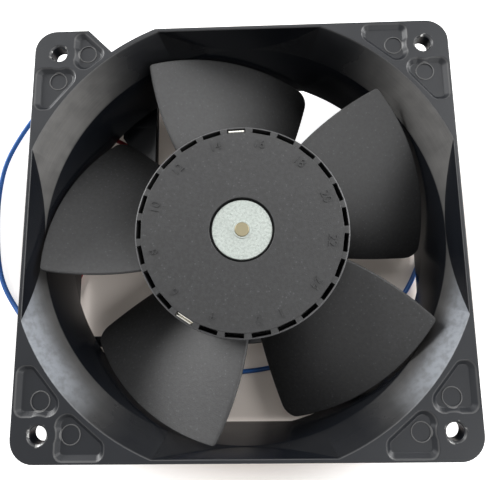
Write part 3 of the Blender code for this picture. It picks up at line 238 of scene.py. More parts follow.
class SurfaceKit(NodeKit):
    """Nodes of one material, on Object coordinates."""

    def __init__(self, name: str) -> None:
        """Start an empty material.

        Args:
            name: The material's name.
        """
        self.material = bpy.data.materials.new(name)
        self.material.use_nodes = True
        super().__init__(self.material.node_tree)
        self.shader = self.tree.nodes["Principled BSDF"]
        self.place = self.add('ShaderNodeTexCoord', output="Object")

    @cached_property
    def axes(self) -> tuple[Signal, Signal, Signal]:
        """The place's X, Y and Z."""
        x = self.add('ShaderNodeSeparateXYZ', inputs={0: self.place})
        return x, x.beside("Y"), x.beside("Z")

    @cached_property
    def radius(self) -> Signal:
        """Distance from the Z axis."""
        return self.axes[0].diagonal(self.axes[1])

    def away_from(self, place: Point) -> Signal:
        """Distance from the nearest of a place and its mirror images in X and Y."""
        x, y, _ = self.axes
        return (abs(x) - place[0]).diagonal(abs(y) - place[1])

    def noise(self, grain: float, detail: float = 2.0, place: Signal | None = None) -> Signal:
        """Cloudy noise from 0 to 1, with clouds of grain metres and detail finer layers."""
        inputs = {"Vector": place or self.place, "Scale": 1.0 / grain, "Detail": detail}
        return self.add('ShaderNodeTexNoise', inputs=inputs)

    def spots(self, spacing: float) -> Signal:
        """Distance to scattered points, about 0 to 1, for flakes and grain."""
        inputs = {"Vector": self.place, "Scale": 1.0 / spacing}
        return self.add('ShaderNodeTexVoronoi', inputs=inputs)

    def bump(self, height: Number, depth: float) -> Signal:
        """Normal of a surface that rises by depth, in metres, where height goes from 0 to 1."""
        inputs = {"Height": height, "Distance": depth, "Strength": 1.0}
        return self.add('ShaderNodeBump', inputs=inputs)

    def dress(self, **sockets: object) -> bpy.types.Material:
        """Feed the shader.

        Args:
            sockets: Values or signals by the socket's name, with _ for a space.

        Returns:
            The finished material.
        """
        for name, value in sockets.items():
            self.plug(self.shader.inputs[name.replace("_", " ")], value)
        return self.material


# Finishes

class Look(NamedTuple):
    """What changes over a surface; the height goes from 0 to 1."""

    colour: Signal
    rough: Signal
    height: Signal
    metal: Number


@dataclass(frozen=True)
class Finish:
    """A surface with a colour that drifts a little, and a fine grain."""

    name: str
    colour: Colour
    roughness: float = 0.45
    metallic: float = 0.0
    drift: float = 0.12
    drift_size: float = 0.006
    grain: float = 0.0003
    grain_depth: float = 0.00001
    specular: float = 0.5

    def shades(self, kit: SurfaceKit) -> Signal:
        """The colour, darker and lighter in clouds.

        Args:
            kit: The material's nodes.

        Returns:
            The colour.
        """
        dark = tuple(part * (1.0 - self.drift) for part in self.colour)
        light = tuple(part * (1.0 + self.drift) for part in self.colour)
        return kit.mix(kit.noise(self.drift_size, 3.0), dark, light)

    def look(self, kit: SurfaceKit) -> Look:
        """Work out the surface."""
        rough = self.roughness + (kit.noise(self.drift_size / 2) - 0.5) * 0.12
        return Look(self.shades(kit), rough, kit.noise(self.grain), self.metallic)

    def material(self) -> bpy.types.Material:
        """Make the material.

        Returns:
            The material.
        """
        kit = SurfaceKit(self.name)
        look = self.look(kit)
        return kit.dress(Base_Color=look.colour, Roughness=look.rough, Metallic=look.metal,
                         Specular_IOR_Level=self.specular,
                         Normal=kit.bump(look.height, self.grain_depth))


@dataclass(frozen=True)
class CastPaint(Finish):
    """Black paint on the casting: dulled, with painted light and painted sheen on the bell, worn
    bare round the holes.
    """

    # Colour of the scuffs on the bell, and of the painted light on its left and right sides
    scuffed: Colour = (0.190, 0.186, 0.180)
    # Painted sheen, pale and bluish, low on the bell's left and right
    rubbed: Colour = (0.30, 0.32, 0.35)
    # Thin worn paint with a painted highlight, on the front's rims and the pins' rings
    edge_worn: Colour = (0.13, 0.13, 0.13)
    bare: Colour = (0.42, 0.42, 0.41)
    flat_place: float = 0.0584
    bell_start: float = 0.0085
    fade: float = 0.0003
    peel: float = 0.0007
    scuff_length: float = 0.012
    scuff_width: float = 0.00022

    @staticmethod
    def inside_bell(kit: SurfaceKit) -> Signal:
        """1 inside the bell's rim, 0 outside."""
        return kit.radius.between(BELL_RADIUS + 0.0002, BELL_RADIUS - 0.0001)

    def on_cone(self, kit: SurfaceKit) -> Signal:
        """1 on the cone of the front bell, 0 off it and on its flat sides.

        Args:
            kit: The material's nodes.

        Returns:
            The mask.
        """
        x, y, z = kit.axes
        cone = (kit.radius.between(THROAT_RADIUS, THROAT_RADIUS + self.fade)
                * z.between(self.bell_start, self.bell_start + self.fade) * self.inside_bell(kit))
        for side in (x, y):
            cone = cone * abs(side).between(self.flat_place, self.flat_place - 0.0001)
        return cone

    def scuffs(self, kit: SurfaceKit) -> Signal:
        """How far the bell is scuffed and dulled, with painted light strongest on its left and
        right.

        Args:
            kit: The material's nodes.

        Returns:
            The share, from 0 to 1.
        """
        x, y, z = kit.axes
        across, along = x / kit.radius, y / kit.radius
        around = THROAT_RADIUS / self.scuff_length
        stretched = kit.vector(across * around, along * around, z / self.scuff_width)
        streaks = kit.noise(1.0, 4.0, stretched).between(0.35, 0.75)
        # Painted light: strongest on the bell's left and right sides, which face the lamps
        sides = abs(across).between(0.48, 0.80) * (0.6 + along.between(-0.2, 0.5) * 0.4)
        patches = kit.noise(0.005, 4.0).between(0.30, 0.65)
        return (0.08 + sides * 0.92) * (0.85 + streaks * 0.15) * (0.8 + patches * 0.2)

    def rubs(self, kit: SurfaceKit) -> Signal:
        """How far the bell gets a painted sheen, mottled, at its lower left and right and towards
        its rim.

        Args:
            kit: The material's nodes.

        Returns:
            The share, from 0 to 1.
        """
        x, y, z = kit.axes
        low_sides = ((abs(x) * 0.91 - y * 0.41) / kit.radius).between(0.88, 0.99)
        height = z.between(self.bell_start + 0.001, FRONT - 0.002)
        mottles = kit.noise(0.0016, 5.0).between(0.30, 0.62)
        return low_sides * height * (0.6 + mottles * 0.4)

    @staticmethod
    def edges(kit: SurfaceKit) -> Signal:
        """Worn paint and painted highlight along the front's rims and on the ejector pins' rings.

        Args:
            kit: The material's nodes.

        Returns:
            The share, from 0 to 1.
        """
        z = kit.axes[2]
        floor = FRONT - POCKET_DEPTH
        rims = (z.between(FRONT - 0.0004, FRONT - 0.0002)
                * z.between(FRONT - 0.00001, FRONT - 0.00006))
        near = sum(kit.away_from(place).between(0.0028, 0.0027)
                   for place in (PIN_PLACE, PIN_PLACE[::-1]))
        return rims * 0.4 + z.between(floor + 0.00002, floor + 0.00005) * near * 0.9

    @staticmethod
    def wear(kit: SurfaceKit) -> Signal:
        """Bare metal on the chamfers of the mounting holes, in patches.

        Args:
            kit: The material's nodes.

        Returns:
            The share, from 0 to 1.
        """
        distance = kit.away_from((HOLE_PLACE, HOLE_PLACE))
        ring = distance.between(HOLE_RADIUS + 0.0009, HOLE_RADIUS + 0.0003)
        outer_face = abs(kit.axes[2]).between(FRONT - 0.0009, FRONT - 0.0003)
        return ring * outer_face * kit.noise(0.0016, 3.0).between(0.55, 0.66)

    def look(self, kit: SurfaceKit) -> Look:
        """Work out the surface, smoother inside the duct than on the flanges.

        Args:
            kit: The material's nodes.

        Returns:
            The surface.
        """
        cone = self.on_cone(kit)
        wear = self.wear(kit)
        scuffs = cone * self.scuffs(kit)
        # Scuffs, and painted light on the bell's left and right sides
        painted = kit.mix(scuffs, self.shades(kit), self.scuffed)
        # Worn paint and painted highlight along the rims and the pin rings
        painted = kit.mix(self.edges(kit), painted, self.edge_worn)
        # Painted sheen at the bell's lower left and right, towards its rim
        painted = kit.mix(cone * self.rubs(kit), painted, self.rubbed)
        duct = self.inside_bell(kit) * kit.axes[2].between(FRONT - 0.0001, FRONT - 0.0006)
        rough = self.roughness + (kit.noise(0.004, 4.0) - 0.5) * 0.14 + scuffs * 0.06
        rough = rough * (1.0 - wear * 0.35) * (1.0 - duct * (1.0 - scuffs) * 0.4)
        height = kit.noise(self.peel) * 0.6 + kit.noise(self.grain) * 0.4
        return Look(kit.mix(wear, painted, self.bare), rough, height, wear * 0.7)


@dataclass(frozen=True)
class GrainedMoulding(Finish):
    """Glass-filled nylon with a fine sandy grain, a few pale specks and a painted highlight on the
    hub's rim.
    """

    speck: Colour = (0.075, 0.077, 0.080)
    speck_spacing: float = 0.0011
    # Painted highlight on the hub's rounded rim
    rim: Colour = (0.16, 0.16, 0.165)

    def look(self, kit: SurfaceKit) -> Look:
        """Work out the surface.

        Args:
            kit: The material's nodes.

        Returns:
            The surface.
        """
        sand = kit.noise(self.grain, 3.0)
        coarse = kit.noise(self.grain * 3, 3.0)
        specks = kit.spots(self.speck_spacing).between(0.26, 0.10) * coarse.between(0.45, 0.58)
        tone = kit.mix(coarse.between(0.35, 0.65) * 0.16, self.shades(kit), self.speck)
        tone = kit.mix(specks * 0.8, tone, self.speck)
        # Painted highlight along the hub's rounded outer edge
        rim = (kit.radius.between(HUB_RADIUS - 0.0005, HUB_RADIUS - 0.0002)
               * kit.radius.between(HUB_RADIUS + 0.0002, HUB_RADIUS + 0.0001)
               * kit.axes[2].between(HUB_TOP - 0.0008, HUB_TOP - 0.0004))
        rough = self.roughness + (sand - 0.5) * 0.25
        return Look(kit.mix(rim * 0.7, tone, self.rim), rough, sand * 0.6 + coarse * 0.4,
                    self.metallic)


@dataclass(frozen=True)
class CastZinc(Finish):
    """Matt zinc with pale and dark flow marks."""

    dark: Colour = (0.40, 0.44, 0.41)
    fleck: Colour = (0.78, 0.82, 0.80)
    mark_size: float = 0.0007

    def look(self, kit: SurfaceKit) -> Look:
        """Work out the surface.

        Args:
            kit: The material's nodes.

        Returns:
            The surface.
        """
        marks = kit.noise(self.mark_size, 5.0).between(0.30, 0.62)
        flecks = kit.noise(self.mark_size / 3, 3.0).between(0.55, 0.72)
        tone = kit.mix(flecks * 0.6, kit.mix(marks, self.dark, self.shades(kit)), self.fleck)
        rough = self.roughness + (marks - 0.5) * 0.2
        return Look(tone, rough, marks * 0.5 + flecks * 0.5, self.metallic)


@dataclass(frozen=True)
class TurnedMetal(Finish):
    """Metal with fine rings left by the lathe, about the Z axis."""

    ring: float = 0.00012

    def look(self, kit: SurfaceKit) -> Look:
        """Work out the surface.

        Args:
            kit: The material's nodes.

        Returns:
            The surface.
        """
        place = kit.vector(kit.radius / self.ring, kit.axes[2] / self.ring, 0.0)
        rings = kit.noise(1.0, 3.0, place)
        rough = self.roughness + (rings - 0.5) * 0.2
        return Look(self.shades(kit), rough, rings, self.metallic)


@dataclass(frozen=True)
class StackedSheets(Finish):
    """Steel sheets seen on edge, in layers along Z."""

    sheet: float = 0.0005
    gap_colour: Colour = (0.05, 0.05, 0.055)

    def look(self, kit: SurfaceKit) -> Look:
        """Work out the surface.

        Args:
            kit: The material's nodes.

        Returns:
            The surface.
        """
        level = (kit.axes[2] / self.sheet).math('FRACT')
        seam = abs(level - 0.5).between(0.36, 0.47)
        rough = self.roughness + kit.noise(self.drift_size) * 0.15
        tone = kit.mix(seam, self.shades(kit), self.gap_colour)
        return Look(tone, rough, 1.0 - seam, self.metallic)


@dataclass(frozen=True)
class WoundWire(Finish):
    """Enamelled wire laid side by side about the Z axis."""

    wire: float = 0.00028
    shadow: Colour = (0.12, 0.04, 0.015)

    def look(self, kit: SurfaceKit) -> Look:
        """Work out the surface.

        Args:
            kit: The material's nodes.

        Returns:
            The surface.
        """
        turns = (kit.radius / self.wire + kit.axes[2] / self.wire).math('FRACT')
        ridge = 1.0 - abs(turns - 0.5) * 2.0
        rough = self.roughness + kit.noise(self.drift_size) * 0.1
        tone = kit.mix(ridge.between(0.35, 0.0), self.shades(kit), self.shadow)
        return Look(tone, rough, ridge.root(), self.metallic)


@dataclass(frozen=True)
class BoardLaminate(Finish):
    """Green solder mask over copper tracks."""

    track: Colour = (0.06, 0.36, 0.16)
    track_spacing: float = 0.0019

    def look(self, kit: SurfaceKit) -> Look:
        """Work out the surface.

        Args:
            kit: The material's nodes.

        Returns:
            The surface.
        """
        rings = (kit.radius / self.track_spacing).math('FRACT').between(0.55, 0.60)
        tracks = rings * kit.noise(0.006, 1.0).between(0.48, 0.52)
        rough = self.roughness + kit.noise(self.drift_size) * 0.1
        return Look(kit.mix(tracks, self.shades(kit), self.track), rough, tracks, self.metallic)


PAINT = CastPaint("cast_black", (0.0075, 0.0088, 0.0118), 0.40, grain_depth=0.000012,
                  specular=0.38)
MOULDING = GrainedMoulding("grey_moulding", (0.024, 0.024, 0.0245), 0.48, drift=0.08,
                           grain_depth=0.00006)
ZINC = CastZinc("zinc", (0.53, 0.575, 0.54), 0.55, 0.25, grain_depth=0.00004)
SHAFT_STEEL = TurnedMetal("shaft_steel", (0.30, 0.265, 0.17), 0.45, 0.7, grain_depth=0.000006)
# A near-black steel, given to the rotor cup
DARK_STEEL = Finish("dark_steel", (0.012, 0.012, 0.013), 0.6, grain_depth=0.000006)
SPRING_STEEL = Finish("spring_steel", (0.86, 0.84, 0.78), 0.25, 1.0, grain_depth=0.000004)
BLUE_SLEEVE = Finish("blue_sleeve", (0.018, 0.125, 0.44), 0.38, drift=0.1, grain=0.0004)
RED_SLEEVE = Finish("red_sleeve", (0.33, 0.016, 0.026), 0.38, drift=0.1, grain=0.0004)
TIN = Finish("tin", (0.70, 0.71, 0.72), 0.30, 1.0, grain=0.00015)
SLOT_FINISHES = (
    PAINT, MOULDING, ZINC, BLUE_SLEEVE, RED_SLEEVE, TIN,
    TurnedMetal("steel", (0.60, 0.60, 0.61), 0.32, 1.0, grain_depth=0.000006),
    Finish("ferrite", (0.05, 0.05, 0.055), 0.65, grain=0.0002, grain_depth=0.00003),
    StackedSheets("laminations", (0.42, 0.43, 0.45), 0.35, 1.0, grain_depth=0.00005),
    Finish("nylon", (0.74, 0.70, 0.58), 0.42, grain_depth=0.000012),
    WoundWire("copper", (0.66, 0.27, 0.10), 0.28, 0.9, grain_depth=WoundWire.wire / 3),
    Finish("film", (0.12, 0.11, 0.10), 0.35, drift=0.2),
    BoardLaminate("board", (0.02, 0.20, 0.085), 0.35, grain_depth=0.00003),
    Finish("chip", (0.018, 0.018, 0.019), 0.5, grain=0.00012, grain_depth=0.000015),
    Finish("clip_rubber", (0.02, 0.02, 0.022), 0.62, grain=0.0002, grain_depth=0.00002),
)


@lru_cache(maxsize=None)
def material_of(finish: Finish) -> bpy.types.Material:
    """The one material of a finish."""
    return finish.material()


# Shapes

def arc(radius: float, steps: int, start: float = 0.0, sweep: float = tau) -> Outline:
    """Points along an arc about the origin; a whole turn leaves out the last point."""
    turns = [start + sweep * step / steps for step in range(steps if sweep == tau else steps + 1)]
    return [(radius * cos(turn), radius * sin(turn)) for turn in turns]


def rounded_corner(before: Point, here: Point, after: Point, radius: float,
                   steps: int = FILLET_STEPS) -> Outline:
    """Points of the arc that rounds one corner.

    Args:
        before: The corner before.
        here: The corner to round.
        after: The corner after.
        radius: The arc's radius.
        steps: How many pieces the arc has.

    Returns:
        The arc's points, from the side of before to the side of after.
    """
    if radius <= 0.0:
        return [here]
    middle = Vector(here)
    first = (Vector(before) - middle).normalized()
    last = (Vector(after) - middle).normalized()
    half_angle = first.angle(last) / 2
    centre = middle + (first + last).normalized() * (radius / sin(half_angle))
    reach = radius * cos(half_angle) / sin(half_angle)
    start = middle + first * reach - centre
    end = middle + last * reach - centre
    angle = atan2(start.y, start.x)
    sweep = (atan2(end.y, end.x) - angle + pi) % tau - pi
    return [(centre.x + x, centre.y + y) for x, y in arc(radius, steps, angle, sweep)]


def soften(corners: Sequence[Point], radii: float | Sequence[float],
           steps: int = FILLET_STEPS) -> Outline:
    """Round the corners of a closed outline or profile.

    Args:
        corners: The outline's corners.
        radii: One radius for all corners, or one for each; 0 keeps a corner sharp.
        steps: How many pieces each arc has.

    Returns:
        The outline with its arcs.
    """
    each = [radii] * len(corners) if isinstance(radii, float) else radii
    following = [*corners[1:], corners[0]]
    points = []
    for before, here, after, radius in zip([corners[-1], *corners], corners, following, each):
        points += rounded_corner(before, here, after, radius, steps)
    return points


def rectangle(left: float, low: float, right: float, high: float) -> Outline:
    """Outline of an upright rectangle."""
    return [(right, low), (right, high), (left, high), (left, low)]


def square(half: float) -> Outline:
    """Outline of a square about the origin."""
    return rectangle(-half, -half, half, half)


def skin(builder: Builder, rings: Sequence[list[bmesh.types.BMVert]]) -> None:
    """Join rings of as many corners each, one to the next.

    Args:
        builder: The mesh.
        rings: The corners of each ring, all the way round.
    """
    for ring, following in zip(rings, rings[1:]):
        for index in range(len(ring)):
            after = (index + 1) % len(ring)
            builder.faces.new((ring[index], ring[after], following[after], following[index]))


def revolve(profile: Sequence[Point], steps: int, centre: Point = (0.0, 0.0)) -> Builder:
    """Turn a closed profile of radius and height about the Z axis.

    Args:
        profile: Radius and height of each point, either clear of the axis or from a first
            point on it to a last point on it.
        steps: How many faces go round.
        centre: Where the axis stands.

    Returns:
        The closed solid.
    """
    builder = bmesh.new()
    rings = [[builder.verts.new((centre[0] + x, centre[1] + y, height))
              for x, y in arc(radius, steps)] for radius, height in profile]
    skin(builder, rings if profile[0][0] == 0.0 else [*rings, rings[0]])
    bmesh.ops.remove_doubles(builder, verts=builder.verts, dist=WELD)
    return builder


def stack(levels: Sequence[tuple[Outline, float]]) -> Builder:
    """Skin outlines of as many points each, the lowest one first, closed at both ends.

    Args:
        levels: Outline and height of each level.

    Returns:
        The mesh.
    """
    builder = bmesh.new()
    rings = [[builder.verts.new((x, y, height)) for x, y in outline] for outline, height in levels]
    builder.faces.new(rings[0][::-1])
    builder.faces.new(rings[-1])
    skin(builder, rings)
    return builder


def block(outline: Outline, low: float, high: float) -> Builder:
    """A plain prism."""
    return stack([(outline, low), (outline, high)])


def new_item(name: str, data: bpy.types.ID) -> Item:
    """Put a new object into the scene.

    Args:
        name: The object's name.
        data: Its mesh, curve, light or camera.

    Returns:
        The object.
    """
    item = bpy.data.objects.new(name, data)
    bpy.context.scene.collection.objects.link(item)
    return item


def solid(name: str, builder: Builder) -> Item:
    """Turn a mesh under construction, which is freed, into an object with its faces outward.

    Args:
        name: The object's name.
        builder: The mesh.

    Returns:
        The object.
    """
    bmesh.ops.recalc_face_normals(builder, faces=builder.faces)
    mesh = bpy.data.meshes.new(name)
    builder.to_mesh(mesh)
    builder.free()
    return new_item(name, mesh)


def rounded_block(name: str, outline: Callable[[float], Outline], low: float, high: float,
                  edge_round: float, beyond: float = 0.0) -> Item:
    """A block whose end edges are rounded or, on a cutter, flared.

    Args:
        name: The object's name.
        outline: Gives the block's outline, drawn in by an inset.
        low: The lower end.
        high: The upper end.
        edge_round: Radius of the end edges; negative to flare.
        beyond: How far a cutter goes on past both ends.

    Returns:
        The block.
    """
    turns = [pi / 2 * step / FILLET_STEPS for step in range(FILLET_STEPS + 1)]
    curve = [(edge_round * (1.0 - sin(turn)), abs(edge_round) * (1.0 - cos(turn)))
             for turn in turns]
    if beyond:
        curve.insert(0, (edge_round, -beyond))
    levels = [(outline(inset), low + rise) for inset, rise in curve]
    levels += [(outline(inset), high - rise) for inset, rise in reversed(curve)]
    return solid(name, stack(levels))


def discard(item: Item) -> None:
    """Remove an object that was only a tool."""
    bpy.data.objects.remove(item, do_unlink=True)


def made_mesh(item: Item) -> bpy.types.Mesh:
    """The mesh that an object's modifiers or curves make.

    Args:
        item: The object.

    Returns:
        The mesh.
    """
    bpy.context.view_layer.update()
    graph = bpy.context.evaluated_depsgraph_get()
    return bpy.data.meshes.new_from_object(item.evaluated_get(graph), depsgraph=graph)


def bake(item: Item) -> Item:
    """Replace an object's modifiers by the mesh they make.

    Args:
        item: The object.

    Returns:
        The same object.
    """
    mesh = made_mesh(item)
    item.modifiers.clear()
    item.data = mesh
    mesh.name = item.name
    return item


def carve(item: Item, operation: Boolean, *tools: Item) -> Item:
    """Cut, join or keep a solid with tools, which are used up.

    Args:
        item: The solid.
        operation: What the tools do to it.
        tools: The tools, in order.

    Returns:
        The carved solid.
    """
    for tool in tools:
        change = item.modifiers.new(tool.name, 'BOOLEAN')
        change.operation = operation.value
        change.solver = 'EXACT'
        change.object = tool
    bake(item)
    for tool in tools:
        discard(tool)
    return item


def smooth(item: Item, angle: float = radians(32)) -> Item:
    """Shade a solid smooth except at its sharp edges, flat faces staying flat.

    Args:
        item: The solid.
        angle: Edges that bend more than this stay sharp.

    Returns:
        The same solid.
    """
    mesh = item.data
    builder = bmesh.new()
    builder.from_mesh(mesh)
    bmesh.ops.remove_doubles(builder, verts=builder.verts, dist=WELD)
    builder.to_mesh(mesh)
    builder.free()
    mesh.shade_smooth()
    mesh.set_sharp_from_angle(angle=angle)
    item.modifiers.new("Face weights", 'WEIGHTED_NORMAL').keep_sharp = True
    return bake(item)


class CopyKit(NodeKit):
    """Geometry nodes that make real copies and dress them."""

    def __init__(self, name: str, **inputs: str) -> None:
        """Start a group that takes a geometry, the named inputs and a material.

        Args:
            name: The group's name.
            inputs: Kind of socket by the input's name.
        """
        super().__init__(bpy.data.node_groups.new(name, 'GeometryNodeTree'))
        sockets = {"Geometry": "Geometry", **inputs, "Material": "Material"}
        for label, kind in sockets.items():
            self.tree.interface.new_socket(label, in_out='INPUT', socket_type=f"NodeSocket{kind}")
        self.tree.interface.new_socket("Geometry", in_out='OUTPUT',
                                       socket_type='NodeSocketGeometry')
        self.given = self.add('NodeGroupInput')

    def copies(self, item: Signal, turn: Signal) -> Signal:
        """Real copies of an item, as many as the input Count says, turned about the Z axis.

        Args:
            item: What is copied.
            turn: Each copy's angle.

        Returns:
            The copies.
        """
        places = self.add('GeometryNodePoints', inputs={"Count": self.given.beside("Count")})
        copies = self.add('GeometryNodeInstanceOnPoints', inputs={
            "Points": places, "Instance": item, "Rotation": self.vector(0.0, 0.0, turn)})
        return self.add('GeometryNodeRealizeInstances', inputs={"Geometry": copies})

    def close(self, made: Signal) -> bpy.types.NodeTree:
        """Give what was made its material and end the group.

        Args:
            made: The geometry.

        Returns:
            The finished group.
        """
        dressed = self.add('GeometryNodeSetMaterial', inputs={
            "Geometry": made, "Material": self.given.beside("Material")})
        self.plug(self.tree.nodes.new('NodeGroupOutput').inputs["Geometry"], dressed)
        return self.tree


def run_group(item: Item, tree: bpy.types.NodeTree, finish: Finish | None, **values: float) -> Item:
    """Run a group on an object and keep what it makes as one plain mesh.

    Args:
        item: The object.
        tree: The group.
        finish: What the result is made of; None for a tool.
        values: Values by the input's name.

    Returns:
        The same object.
    """
    change = item.modifiers.new(tree.name, 'NODES')
    change.node_group = tree
    named = {socket.name: socket.identifier for socket in tree.interface.items_tree
             if socket.in_out == 'INPUT'}
    for name, value in values.items():
        change[named[name]] = value
    if finish is not None:
        change[named["Material"]] = material_of(finish)
    return bake(item)


@dataclass(frozen=True)
class Pattern:
    """Copies of a solid, each turned about the Z axis by one more step."""

    count: int
    turn: float
    first: float = 0.0

    @staticmethod
    @lru_cache(maxsize=None)
    def tree() -> bpy.types.NodeTree:
        """The geometry nodes that place the copies.

        Returns:
            The group.
        """
        kit = CopyKit("Turned copies", Count="Int", Turn="Float", First="Float")
        step = kit.add('GeometryNodeInputIndex') * kit.given.beside("Turn")
        return kit.close(kit.copies(kit.given, kit.given.beside("First") + step))

    def repeat(self, item: Item) -> Item:
        """Replace a tool by its copies."""
        return run_group(item, self.tree(), None, Count=self.count, Turn=self.turn,
                         First=self.first)


@dataclass(frozen=True)
class Strands:
    """Wires twisted round a middle one, along Z."""

    count: int
    turns: float
    length: float
    wire: float

    @staticmethod
    @lru_cache(maxsize=None)
    def tree() -> bpy.types.NodeTree:
        """The geometry nodes that twist one wire and copy it round.

        Returns:
            The group.
        """
        kit = CopyKit("Twisted strands", Count="Int", Turns="Float", Length="Float", Wire="Float")
        count, turns, length, wire = (kit.given.beside(name)
                                      for name in ("Count", "Turns", "Length", "Wire"))
        shape = kit.add('GeometryNodeCurvePrimitiveCircle',
                        inputs={"Resolution": 8, "Radius": wire})
        spiral = kit.add('GeometryNodeCurveSpiral', inputs={
            "Resolution": 24, "Rotations": turns, "Start Radius": wire * 2.0,
            "End Radius": wire * 2.0, "Height": length})
        line = kit.add('GeometryNodeCurvePrimitiveLine',
                       inputs={"End": kit.vector(0.0, 0.0, length)})
        twisted, middle = (kit.add('GeometryNodeCurveToMesh', inputs={
            "Curve": path, "Profile Curve": shape, "Fill Caps": True}) for path in (spiral, line))
        both = kit.add('GeometryNodeJoinGeometry')
        turn = kit.add('GeometryNodeInputIndex') * tau / count
        for part in (kit.copies(twisted, turn), middle):
            kit.plug(both.socket.node.inputs[0], part)
        return kit.close(both)

    def make(self, name: str, finish: Finish) -> Item:
        """Make the bundle, from the origin up the Z axis."""
        return run_group(solid(name, bmesh.new()), self.tree(), finish, Count=self.count,
                         Turns=self.turns, Length=self.length, Wire=self.wire)


def settle(item: Item, finish: Finish, body: Body, slot: str, *nodes: str) -> None:
    """Dress a piece, set it on its body and let it stand for its nodes.

    Args:
        item: The piece.
        finish: What it is made of.
        body: The body it rides on.
        slot: A material slot's name; not used.
        nodes: The frame's nodes that it replaces.
    """
    item.data.materials.clear()
    item.data.materials.append(material_of(finish))
    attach(item, body.value)
    if nodes:
        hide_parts(*nodes)
    LOG.info("%s rides on %s", item.name, body.value)


# Housing

